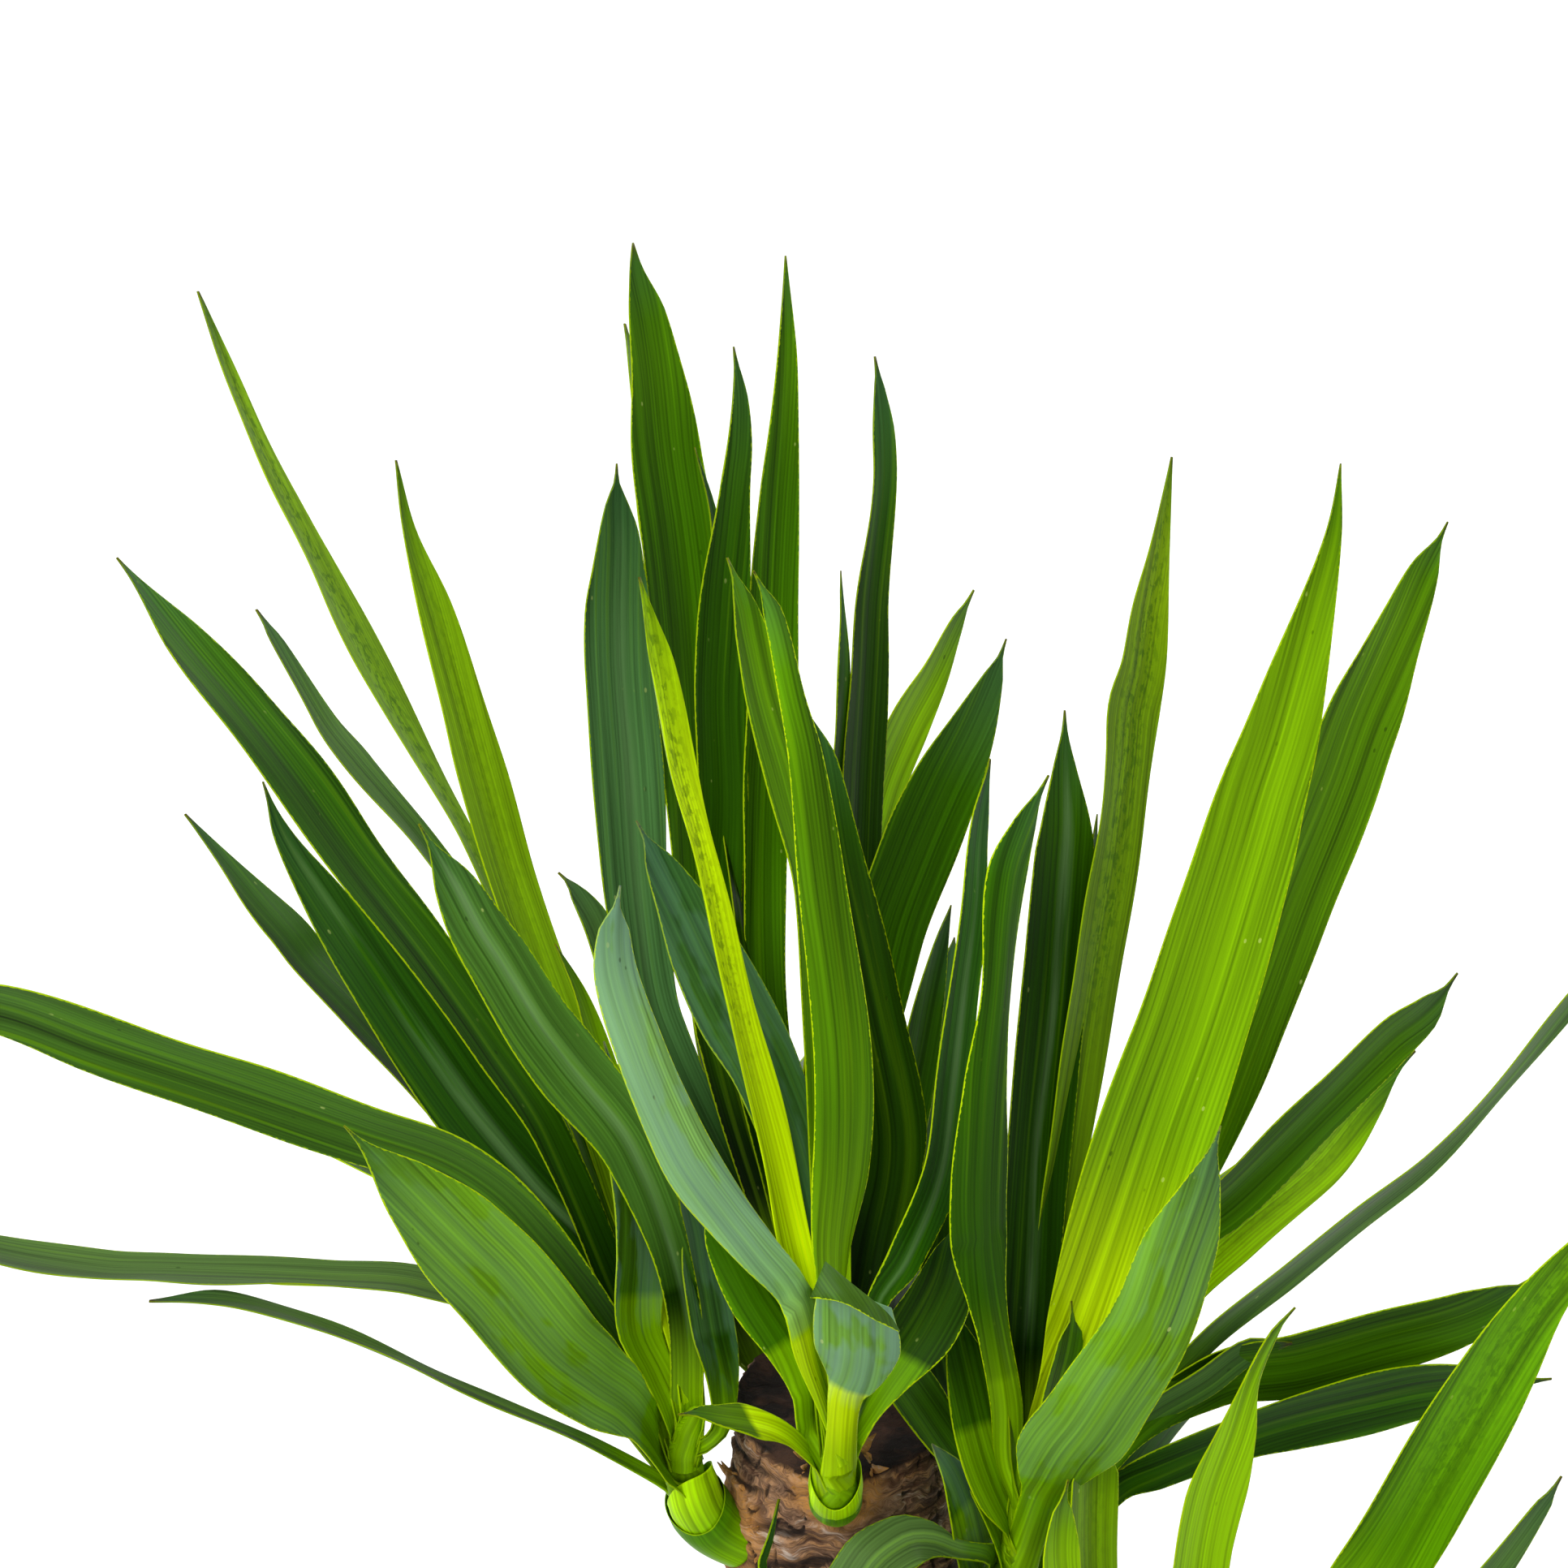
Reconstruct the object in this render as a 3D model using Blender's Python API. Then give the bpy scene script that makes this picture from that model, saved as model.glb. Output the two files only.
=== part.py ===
"""A potted yucca: two sawn canes in a plain pot of soil, with sword-leaved shoots under each cut.

Metres, +Z up. The origin is the centre of the pot's base, and -Y is the front.
"""

import math
from typing import NamedTuple

import bmesh
import bpy
from mathutils import Matrix, Vector, noise

MM = 0.001
CLEARANCE = 0.3 * MM

# The pot, a turned shell with drain holes in its floor
POT_HEIGHT = 175 * MM
POT_BASE_RADIUS = 86 * MM
POT_TOP_RADIUS = 106 * MM
POT_WALL = 3 * MM
POT_FLOOR = 4 * MM
POT_RIM_HEIGHT = 24 * MM
POT_RIM_OUT = 3.5 * MM
POT_EDGE = 1.2 * MM
POT_FOOT_EDGE = 2 * MM
POT_SIDES = 44
DRAIN_COUNT = 6
DRAIN_RADIUS = 6 * MM
DRAIN_RING_RADIUS = 60 * MM
DRAIN_SIDES = 14

# The soil, one block with a plain hole for each cane
SOIL_TOP = 157 * MM
SOIL_EDGE_DROP = 3 * MM
SOIL_LEVEL_SHARE = 0.8
SOIL_CROWN = 1 * MM
SOIL_SIDES = 36
HOLE_DEPTH = 110 * MM
HOLE_CLEARANCE = 0.8 * MM
HOLE_SIDES = 28
HOLE_OVERRUN = 10 * MM

# The canes: where each one stands, its cut height and its radius
TALL_PLACE = Vector((-46 * MM, 18 * MM, 0.0))
TALL_TOP = 415 * MM
TALL_RADIUS = 33 * MM
SHORT_PLACE = Vector((50 * MM, -22 * MM, 0.0))
SHORT_TOP = 314 * MM
SHORT_RADIUS = 26 * MM
CANE_SIDES = 24
CANE_RINGS = 7
CANE_UNEVENNESS = 1.2 * MM
BUMPS_PER_METRE = 9
BUMP_SHIFT = 30
CUT_EDGE = 1.5 * MM
CUT_RISE = 3 * MM
CUT_BEND = 30 * MM
CUT_DISH = 1 * MM
SOCKET_SIDES = 16
SOCKET_OVERRUN = 10 * MM

# Leaves are set out on a board that stands through the tall cane's cut, square to a viewer
VIEW_DISTANCE = 1800 * MM
VIEW_RISE = math.radians(26)
VIEW_CENTRE = (-18.5, 192.25)

# Stems
STEM_SIDES = 8
STEM_RINGS = 4
STEM_TAPER = 0.6
TANGENT_STEP = 0.02

# Leaf section and outline
SEGMENT_LENGTH = 50 * MM
FEWEST_SEGMENTS = 3
MOST_SEGMENTS = 8
RING_POINTS = 4
LEAF_THICKNESS = 1.7 * MM
TIP_THICKNESS = 0.8 * MM
NECK_THICKNESS = 3.6 * MM
THINNING_HALF_WIDTH = 3 * MM
NECK_SHARE = 0.5
ROOT_SHARE = 0.34
NECK_END = 0.14
WIDEST = 0.4
TIP_WIDTH = 0.9 * MM
TIP_FULLNESS = 3.0
SPINE_LENGTH = 5 * MM
SPINE_WIDTH = 1.3 * MM
FIRST_WIDTH_SHARE = 0.9
LEAST_SPREAD = 0.1
LEAST_STEP = 0.01
BASE_ALLOWANCE = 0.5
BLADE_ALLOWANCE = 0.62
LEAF_FOLD = 0.16
NECK_FOLD = 0.45
TURN_END = 0.5
MOST_TWIST = math.radians(60)


class Shoot(NamedTuple):
    """A leafy shoot on a cane, with the radius and axis of its stem.

    The axis is in mm from the centre of the tall cane's cut. Its first leg is a straight peg that starts
    inside the cane and ends just outside it.
    """

    name: str
    cane: str
    radius: float
    axis: tuple
    leaves: tuple


class Leaf(NamedTuple):
    """One leaf. Its points are in mm on the board: right, up, near and, as a rule, its width as seen there.

    The seat is the share of the stem at which it starts. A roll of 0 degrees turns its upper face to the
    viewer. The fold describes its section. A leaf without those widths has a plain sword outline.
    """

    name: str
    seat: float
    width: float
    roll: float
    points: tuple
    fold: float = LEAF_FOLD


LEFT_LEAVES = (
    Leaf("high_bright", 0.80, 22, 65,
         ((-75, 84, -25, 5), (-115, 174, -62, 4.6), (-137, 214, -78, 8.2), (-151, 241, -86, 9.3),
          (-168, 274, -95, 6.2), (-185, 309, -103, 4.7), (-199, 344, -110))),
    Leaf("high_inner", 0.85, 24, 50,
         ((-62, 46, 5, 9), (-102, 163, -31, 14.7), (-111, 194, -38, 15.2), (-118, 219, -44, 13),
          (-126, 247, -50, 9.8), (-134, 271, -54, 4.3), (-138, 292, -58))),
    Leaf("long_dark", 0.60, 27, 48,
         ((-90, 84, 18, 11), (-108, 112, 18, 14), (-127, 139, 18, 15), (-149, 168, 18, 17.3),
          (-169, 196, 17, 17.8), (-184, 215, 16, 16.4), (-203, 237, 15, 11.5), (-224, 262, 12))),
    Leaf("grey_slim", 0.70, 19, 65,
         ((-97, 126, -12, 6), (-128, 173, -25, 7), (-151, 201, -34, 8), (-160, 212, -38, 6.5),
          (-175, 237, -45, 3.4), (-181, 246, -48))),
    Leaf("mid_left", 0.50, 25, 60,
         ((-105, 71, -5, 10), (-147, 120, -20, 12.3), (-164, 138, -26, 12), (-171, 147, -28, 11.4),
          (-181, 158, -31, 9), (-203, 183, -38))),
    Leaf("black_left", 0.45, 28, 35,
         ((-72, 41, 8, 13), (-97, 70, 6, 19), (-115, 92, 4, 23), (-130, 113, 2, 22), (-145, 135, 0, 19),
          (-161, 158, -4, 12.5), (-173, 177, -6, 6), (-179, 193, -8))),
    Leaf("blue_striped", 0.77, 27, 30,
         ((-50, 34, 25, 11), (-65, 79, 35, 18), (-86, 107, 42, 23), (-95, 119, 45, 22),
          (-106, 137, 48, 20), (-113, 148, 50, 17.5), (-120, 161, 52, 12.8), (-131, 180, 55))),
    Leaf("wide_left", 0.35, 27, -45,
         ((-70, 21, 20, 10), (-100, 59, 44, 15.5), (-120, 74, 54, 17.5), (-148, 84, 62, 18.7),
          (-168, 91, 67, 19.2), (-200, 102, 75, 18.8), (-230, 112, 83, 18.3), (-260, 123, 90, 15.5),
          (-300, 130, 92))),
    Leaf("flat_left", 0.30, 24, 68,
         ((-85, 21, 5, 7), (-130, 39, 0, 9), (-160, 41.5, -4, 8), (-208, 43.5, -12, 9.2),
          (-229, 44, -15, 9), (-260, 49, -20, 8.8), (-305, 61, -28))),
    Leaf("thin_left", 0.10, 18, 72,
         ((-75, -12, 8, 4), (-105, 1, 10, 2.8), (-140, 17, 10, 3.2), (-172, 29.5, 9, 4),
          (-192, 34, 7, 4.6), (-214, 33, 5))),
    Leaf("glaucous_left", 0.07, 33, 15,
         ((-53, -15, 14, 12), (-62, -3, 34, 13), (-67, 2.5, 42, 20), (-75, 8, 54, 27), (-88, 18, 72, 31),
          (-105, 38, 95, 32.4), (-117, 50, 108, 31), (-134, 67, 122, 19), (-154, 87, 135))),
    Leaf("folded_upright", 0.75, 22, 40,
         ((-57, 11, 20, 10), (-63, 25, 22, 13.8), (-62, 48, 24, 16), (-62, 64, 24, 17.3),
          (-65, 79, 23, 15.5), (-69, 95, 22, 8), (-74, 113, 20))),
    Leaf("twisted_blue", 0.64, 20, 50,
         ((-44, -12, 20, 4), (-38, -6, 22, 6), (-37.5, 9, 22, 10), (-40, 24, 21, 13),
          (-43, 41, 20, 12.8), (-46, 56, 18, 8.8), (-53, 77, 14))),
    Leaf("small_behind", 0.92, 18, 50,
         ((-52, 59, 0, 8), (-67, 121, -12, 10), (-76, 149, -17, 8.7), (-83, 160, -19, 3.9),
          (-88, 165, -20))),
    Leaf("bright_behind", 0.90, 14, 50, ((-60, 59, 8), (-74, 106, 5), (-81, 127, 2), (-89, 143, 0))),
    Leaf("rear_high", 0.67, 28, 65, ((-85, 80, -40), (-140, 160, -100), (-175, 205, -130))),
    Leaf("rear_mid", 0.47, 28, 65, ((-90, 66, -45), (-120, 100, -90), (-150, 145, -130))),
    Leaf("rear_low", 0.27, 28, 65, ((-100, 50, -30), (-190, 97, -90), (-240, 112, -120))),
    Leaf("rear_flat", 0.20, 26, 75, ((-100, 30, -40), (-180, 42, -110), (-240, 46, -150))),
)

FRONT_LEAVES = (
    Leaf("glaucous_centre", 0.50, 22, 215,
         ((-10, 12, 62, 8.8), (-15, 34, 69, 10.6), (-27, 49, 75, 13.8), (-36, 60, 79, 15.5),
          (-47, 75, 86, 17.5), (-55, 91, 91, 17), (-62, 108, 96, 15.7), (-70, 133, 100, 13.4),
          (-71, 147, 101, 9.5), (-69, 161, 102))),
    Leaf("dark_blue", 0.70, 28, 30,
         ((-7, 39, 56, 12), (-14, 76, 56, 18), (-24, 104, 54, 21.5), (-33, 121, 52, 24),
          (-42, 139, 50, 22), (-50, 155, 48, 16), (-57, 168, 46, 9), (-64, 181, 44))),
    Leaf("neon_young", 0.90, 20, 60,
         ((-14, 46, 62, 10), (-24, 95, 66, 9.7), (-34, 134, 67, 7.8), (-43, 172, 68, 6.3),
          (-50, 201, 67, 8.5), (-56, 230, 66, 6.6), (-60, 245, 65, 3), (-63, 256, 64)), 0.45),
    Leaf("mid_behind", 0.85, 20, 45,
         ((-5, 84, 50, 12), (-9, 159, 44, 13), (-16, 191, 40, 14), (-24, 219, 36, 13),
          (-28, 236, 34, 10.5), (-31, 249, 32, 6), (-36, 262, 30))),
    Leaf("tall_front", 0.80, 19, 200,
         ((-4, 46, 66, 12), (-1, 74, 70, 17.2), (0, 95, 74, 18), (-1, 117, 76, 17.8),
          (-6.5, 159, 78, 14.7), (-12, 201, 79, 11), (-16, 219, 80, 8.2), (-22, 245, 81, 6),
          (-28, 258, 82))),
    Leaf("dark_behind", 0.67, 25, 30,
         ((5, 29, 46, 10), (9, 50, 43, 15), (14, 73, 39, 20), (14, 90, 36, 22), (7, 124, 32, 22),
          (-2, 164, 27, 19), (-8, 199, 23, 12), (-14, 221, 20))),
    Leaf("glossy_curve", 0.60, 20, 55,
         ((10, 32, 54, 7), (19, 46, 51, 11), (30, 72, 45, 11.8), (34, 100, 40, 11.6), (37, 128, 34, 9.2),
          (40, 154, 26, 7.2), (42, 180, 16, 5.7), (45, 200, 8))),
    Leaf("curled_front", 0.35, 29, 190,
         ((-1.3, -14, 57, 10), (-0.5, -4, 68, 9.5), (0.5, 4, 78, 11), (2.5, 9, 85, 17),
          (3.3, 14, 92, 23.5), (4, 20, 100, 27), (3.5, 25, 106, 26), (0, 31, 112, 18), (-4, 38, 117))),
    Leaf("small_left", 0.15, 16, 50,
         ((-15, -10, 60, 4.5), (-21, -6, 68, 6.5), (-29, -3.5, 77, 9.4), (-37, -2.5, 85, 7),
          (-45, -1.6, 92, 3.4), (-51, -2, 97))),
    Leaf("left_blade", 0.40, 17, 200,
         ((-11, -8, 53, 6), (-12.5, 5, 56, 8), (-18, 18, 58, 12), (-28, 34, 60, 15.5), (-37, 52, 62, 12),
          (-44, 71, 62))),
    Leaf("broad_right", 0.30, 23, 150,
         ((6, -4, 51, 7), (13, 8, 49, 13), (24, 24, 41, 21), (31, 38, 31, 18), (34, 50, 26, 11),
          (36, 61, 20))),
)

BACK_LEAVES = (
    Leaf("tallest", 0.50, 29, 35,
         ((-39, 121, -70, 15), (-46, 216, -85, 23), (-48, 244, -87, 24), (-51, 271, -89, 23.3),
          (-54.5, 294, -90, 21.5), (-57.5, 319, -90, 15.8), (-60.5, 337, -90, 11.5), (-64, 351, -90, 4),
          (-65, 359, -90))),
    Leaf("tall_sliver", 0.30, 20, 68,
         ((-40, 109, -85, 7), (-55, 247, -122, 8), (-59, 273, -128, 7.6), (-63, 312, -134, 5),
          (-67.5, 334, -140))),
    Leaf("bluish_tall", 0.40, 27, 35,
         ((-57, 118, -62, 15), (-63, 150, -64, 19), (-67, 201, -66, 22), (-69, 227, -66, 21.5),
          (-69.5, 245, -66, 20), (-69.5, 259, -65, 16), (-69.5, 270, -64, 12.3), (-70, 279, -63, 6.7),
          (-70, 291, -62))),
    Leaf("curled_small", 0.80, 12, 55,
         ((-35, 184, -60), (-37, 244, -66), (-40, 274, -68), (-46, 296, -68))),
    Leaf("folded_tip", 0.70, 21, 35,
         ((-37, 146, -52, 12), (-37, 189, -53, 15), (-38, 219, -54, 16.5), (-37, 240, -55, 16),
          (-36, 256, -55, 14.4), (-33.5, 284, -56, 9.2), (-32, 298, -57, 7.2), (-32, 312, -57, 4.5),
          (-34, 327, -58))),
    Leaf("centre_tall", 0.77, 19, 35,
         ((-24, 134, -55, 12), (-22, 229, -67, 15.5), (-21, 259, -71, 14.5), (-20, 279, -74, 12.4),
          (-18.5, 301, -77, 9.2), (-17.5, 322, -80, 6.2), (-17.5, 334, -82, 4.2), (-18, 355, -84))),
    Leaf("dark_tall", 0.60, 20, 50,
         ((2, 121, -50, 11), (6.5, 201, -56, 13), (8, 229, -58, 11.4), (9, 250, -59, 9.5),
          (12.5, 285, -62, 7.2), (12.5, 300, -63, 6.5), (11, 314, -64, 3.2), (9.5, 324, -64))),
    Leaf("tip_only", 0.90, 12, 60, ((-5, 159, -44), (0, 221, -48), (-1, 258, -50))),
    Leaf("light_right", 0.47, 21, 50,
         ((-10, 71, -50, 10), (1, 146, -66, 12), (12, 190, -78, 13.5), (20, 210, -84, 12.3),
          (28, 226, -92, 8.6), (35, 242, -98, 4.3), (40, 252, -102))),
    Leaf("dark_broad", 0.27, 27, 30,
         ((1, 84, -48, 15), (13, 144, -52, 22.5), (23, 172, -55, 23.5), (31, 191, -57, 21),
          (40, 210, -59, 14.5), (46, 225, -61, 6.5), (50, 237, -62))),
    Leaf("grey_low", 0.20, 20, 50, ((12, 62, -38), (20, 90, -38), (29, 139, -45), (33, 155, -48))),
    Leaf("rear_upright", 0.57, 28, 65, ((-40, 120, -110), (-48, 200, -170), (-50, 240, -200))),
    Leaf("rear_slant", 0.37, 28, 65, ((-30, 80, -110), (-35, 130, -180), (-30, 170, -230))),
    Leaf("rear_flat", 0.17, 28, 65, ((-20, 60, -110), (-15, 90, -190), (-10, 110, -250))),
    Leaf("rear_left", 0.33, 28, 30,
         ((-25, 12, -40), (-33, 26, -48), (-52, 62, -95), (-74, 100, -160), (-88, 124, -200))),
    Leaf("rear_right", 0.24, 28, 35, ((16, 22, -28), (22, 50, -60), (29, 100, -135), (34, 145, -190))),
)

RIGHT_LEAVES = (
    Leaf("inner_left", 0.80, 24, 225,
         ((51, -17, 24, 8.5), (50, 1, 32, 10), (46.5, 21, 41, 10.2), (44, 34, 45, 12.3),
          (41.5, 53, 50, 17.2), (41.5, 72, 53, 17.4), (43.5, 99, 56, 12.7), (46.5, 126, 58, 9.6),
          (50, 164, 58, 11.5), (55.5, 180, 57, 7), (63, 195, 56))),
    Leaf("dark_upright", 0.90, 26, 40,
         ((56, 15, 30, 12), (58, 46, 27, 18), (60.3, 84, 24, 20), (64, 119, 20, 20), (66, 143, 17, 20),
          (68, 169, 14, 18.5), (68.5, 179, 13, 15.5), (68, 197, 10, 7.2), (68, 215, 8))),
    Leaf("tip_behind", 0.85, 18, 60, ((65, 71, 15), (73, 134, 5), (78, 183, -5))),
    Leaf("olive", 0.77, 24, 50,
         ((62, 34, 22, 10), (70, 84, 16, 12.3), (78, 134, 10, 14.5), (84, 170, 4, 13.5),
          (88, 200, 0, 14.6), (89.5, 215, -2, 15.8), (92, 227, -5, 13.6), (94, 243, -8, 11.6),
          (97, 262, -12, 7), (101, 293, -18))),
    Leaf("broad_bright", 0.70, 38, 20,
         ((66, 2, 28, 15), (75, 24, 31, 26), (86, 55, 35, 34), (96, 85, 38, 36), (108, 119, 38, 34),
          (123, 168, 38, 30.5), (129, 189, 37, 27), (135, 208, 36, 23.5), (145, 245, 34, 12),
          (151, 270, 32, 5), (153, 291, 30))),
    Leaf("striped", 0.60, 30, 38,
         ((77, 24, 12, 12), (109, 80, -5, 19), (126, 122, -17, 22.5), (139, 157, -27, 24),
          (153, 192, -38, 24), (160, 212, -44, 22.8), (167, 229, -49, 18.5), (173, 243, -54, 14.5),
          (179, 258, -58, 9), (186, 273, -62))),
    Leaf("mid_right", 0.50, 24, 52,
         ((74, 9, 22, 9), (102, 51, 16, 14), (117, 62, 13, 15), (131, 75, 10, 15), (150, 94, 5, 14.3),
          (169, 113, 0, 13), (180, 122, -4, 9), (189, 134, -8))),
    Leaf("bright_under", 0.45, 27, 48,
         ((72, -1, 20, 10), (106, 41, 6, 17), (121, 55, 1, 18), (145, 75, -8, 17), (162, 96, -16, 12),
          (176, 110, -22))),
    Leaf("long_narrow", 0.40, 23, 70,
         ((80, -7, 20, 7), (102.5, 11.5, 16, 6.4), (117, 25, 14, 6.6), (139, 42, 11, 7),
          (159, 58, 8, 6.4), (180, 75, 5, 5.4), (204, 100, 2, 4.6), (222, 122, 0, 4.8), (247, 154, -6))),
    Leaf("flat_right", 0.30, 27, 43,
         ((84, -12, 14, 10), (115, 9, 8, 16), (140, 13, 2, 19.5), (165, 20, -4, 19), (190, 27, -10, 16),
          (204, 34, -12, 8), (213, 41, -14))),
    Leaf("grey_short", 0.35, 15, 55,
         ((89, -7, 14, 7), (112, 8, 12, 8.5), (124, 17, 10, 8), (132, 19, 9, 4), (138, 20, 8))),
    Leaf("black_right", 0.15, 26, 45,
         ((84, -25, 8, 8.5), (97, -19, 7, 12), (126, -8, 2, 13.5), (140, -4, -2, 16), (162, 1, -8, 18.5),
          (180, 5, -12, 16.3), (200, 7, -18, 10.5), (218, 9, -22))),
    Leaf("glaucous_right", 0.47, 30, 195,
         ((60.5, -27, 38, 12), (63.5, -21, 45, 20), (67.5, -14, 54, 28), (74, -6, 66, 30),
          (80, 3, 77, 29), (94, 25, 96, 26), (103, 49, 110, 23.5), (110, 68, 121, 12), (116, 87, 132))),
    Leaf("small_dark", 0.87, 14, 50, ((61, -16, 30, 7), (66, 4, 34, 9), (70, 21, 35, 8), (70, 33, 36))),
    Leaf("leaning_left", 0.37, 24, 50,
         ((41, -23, 22, 7), (32, -10, 22, 12.5), (22, 5, 20, 15), (12, 18, 14, 13), (2, 31, 8))),
    Leaf("thin_sheath", 0.10, 20, 45, ((39, -34, 26), (34, -21, 32), (27, -11, 36))),
    Leaf("inner_short", 0.57, 24, 40, ((45, -14, 28), (39, 9, 28), (33, 31, 26))),
    Leaf("low_arch", 0.00, 24, 35,
         ((45, -46, 24, 5), (35, -43, 32, 6), (27, -40, 36, 11), (19, -40.5, 40, 17), (8, -49, 44, 21),
          (-8, -80, 44, 20), (-27, -116, 36))),
    Leaf("rear_inner", 0.50, 28, 30,
         ((44, -5, 6), (38, 10, -4), (35, 28, -14), (34, 58, -24), (34, 90, -34))),
    Leaf("rear_high", 0.67, 28, 65, ((90, 80, -20), (120, 165, -70), (138, 230, -95))),
    Leaf("rear_mid", 0.63, 28, 65, ((110, 100, -50), (140, 165, -100), (155, 200, -125))),
    Leaf("rear_low", 0.43, 28, 65, ((95, 42, -30), (140, 84, -90), (160, 104, -120))),
    Leaf("rear_flat", 0.20, 28, 65, ((105, 3, -30), (150, 18, -90), (190, 28, -120))),
)

LOW_RIGHT_LEAVES = (
    Leaf("light_upright", 0.80, 25, 45,
         ((108, -79, 22, 13), (110, -49, 32, 17.3), (114, -29, 37, 17.3), (121, -8, 41, 12),
          (126, 9, 43, 4.8), (133, 24, 45, 2.2), (139, 31, 46))),
    Leaf("bright_wide", 0.60, 34, 38,
         ((140, -84, 22, 16), (166, -49, 32, 26), (184, -19, 38, 26.7), (203, 14, 40, 22),
          (216, 34, 42, 15), (245, 71, 42))),
    Leaf("outer_tip", 0.30, 20, 55,
         ((158, -95, 32, 9), (180, -76, 42, 11), (202, -49, 50, 8.8), (216, -29, 54, 4),
          (221, -21, 56))),
    Leaf("to_the_front", 0.20, 28, 170, ((150, -90, 70), (200, -75, 120), (245, -110, 160))),
    Leaf("to_the_side", 0.40, 28, 40, ((170, -100, 20), (235, -75, 20), (300, -95, 10))),
    Leaf("drooping", 0.00, 26, 20, ((165, -115, 40), (225, -115, 70), (270, -160, 90))),
    Leaf("rear_side", 0.27, 28, 40, ((150, -85, -20), (190, -62, -80), (230, -70, -130))),
    Leaf("rear", 0.50, 26, 30, ((128, -75, -45), (122, -62, -100), (110, -66, -160))),
    Leaf("inner", 0.95, 16, 50, ((131, -82, 20), (136, -66, 22), (139, -56, 22))),
)

LOW_LEFT_LEAVES = (
    Leaf("behind_front", 0.70, 24, 50,
         ((80, -81, 30, 12), (77, -49, 35, 15.4), (77, -21, 40, 14), (78, -5, 40))),
    Leaf("front_short", 0.90, 18, 45,
         ((72, -79, 50, 9), (67, -49, 62, 12), (67, -33, 66, 6.7), (69, -22, 68))),
    Leaf("grass_thin", 0.20, 5, 60,
         ((30, -105, 50, 2.2), (-15, -90, 60, 2.4), (-25, -49, 62, 2.1), (-23, -41, 62, 1.8),
          (-20, -28, 62))),
    Leaf("to_the_front", 0.30, 28, 180, ((60, -100, 90), (40, -95, 160), (15, -130, 230))),
    Leaf("front_left", 0.40, 28, 170, ((40, -100, 70), (-20, -85, 130), (-80, -120, 180))),
    Leaf("left_side", 0.10, 26, 20, ((30, -118, 60), (-60, -112, 90), (-130, -145, 110))),
    Leaf("drooping", 0.00, 26, 15, ((35, -135, 60), (-30, -150, 110), (-70, -200, 130))),
    Leaf("front_right", 0.60, 26, 190, ((95, -95, 90), (125, -90, 150), (150, -125, 210))),
    Leaf("inner", 0.95, 16, 50, ((76, -92, 45), (84, -70, 60), (90, -58, 70))),
)

SHOOTS = (
    Shoot("shoot_left", "tall", 9.5,
          ((-22, -8, -47), (-40, -14, -33), (-47, -17, -19), (-49, -18, -4), (-45, -18, 12)), LEFT_LEAVES),
    Shoot("shoot_front", "tall", 8.4,
          ((-3, -22, -18), (-3, -43, -5), (-3, -50, 9), (-3, -51, 28)), FRONT_LEAVES),
    Shoot("shoot_back", "tall", 9.5,
          ((-6, 20, -29), (-10, 44, -21), (-12, 50, -8), (-12, 52, 8), (-12, 53, 25)), BACK_LEAVES),
    Shoot("shoot_right", "tall", 10.0,
          ((18, -10, -72), (40, -23, -64), (50, -29, -54), (53, -30, -40), (56, -30, -5)), RIGHT_LEAVES),
    Shoot("shoot_low_right", "short", 8.5,
          ((111, -47, -129), (130, -55, -114), (138, -58, -99), (140, -58, -78)), LOW_RIGHT_LEAVES),
    Shoot("shoot_low_left", "short", 8.5,
          ((90, -52, -123), (75, -67, -117), (70, -72, -105), (72, -72, -84)), LOW_LEFT_LEAVES),
)


def clear_scene():
    for thing in list(bpy.data.objects):
        bpy.data.objects.remove(thing, do_unlink=True)


def make_material(name, colour, roughness, metallic=0.0):
    material = bpy.data.materials.new(name)
    material.use_nodes = True
    shader = material.node_tree.nodes["Principled BSDF"]
    shader.inputs["Base Color"].default_value = (*colour, 1.0)
    shader.inputs["Roughness"].default_value = roughness
    shader.inputs["Metallic"].default_value = metallic
    return material


def object_from(name, vertices, faces):
    mesh = bpy.data.meshes.new(name)
    mesh.from_pydata(vertices, [], faces)
    mesh.update()
    made = bpy.data.objects.new(name, mesh)
    bpy.context.scene.collection.objects.link(made)
    return made


def shade(thing, angle=40):
    thing.data.shade_smooth()
    thing.data.set_sharp_from_angle(angle=math.radians(angle))


def bake_modifiers(thing):
    """Keeps the mesh that the modifiers make and drops the modifiers."""
    graph = bpy.context.evaluated_depsgraph_get()
    mesh = bpy.data.meshes.new_from_object(thing.evaluated_get(graph))
    thing.modifiers.clear()
    thing.data = mesh


def cut(thing, cutters):
    """Takes the cutters out of the thing and removes them."""
    for cutter in cutters:
        cutter.hide_render = True
        cutter.display_type = "WIRE"
        modifier = thing.modifiers.new("cut", "BOOLEAN")
        modifier.operation = "DIFFERENCE"
        modifier.solver = "EXACT"
        modifier.object = cutter
        bake_modifiers(thing)
        bpy.data.objects.remove(cutter, do_unlink=True)


def cylinder(name, radius, start, end, sides):
    """A closed cylinder between two points."""
    axis = end - start
    mesh = bpy.data.meshes.new(name)
    shape = bmesh.new()
    bmesh.ops.create_cone(
        shape, cap_ends=True, segments=sides, radius1=radius, radius2=radius, depth=axis.length
    )
    turn = axis.to_track_quat("Z", "Y").to_matrix().to_4x4()
    shape.transform(Matrix.Translation((start + end) / 2) @ turn)
    shape.to_mesh(mesh)
    shape.free()
    made = bpy.data.objects.new(name, mesh)
    bpy.context.scene.collection.objects.link(made)
    return made


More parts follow.
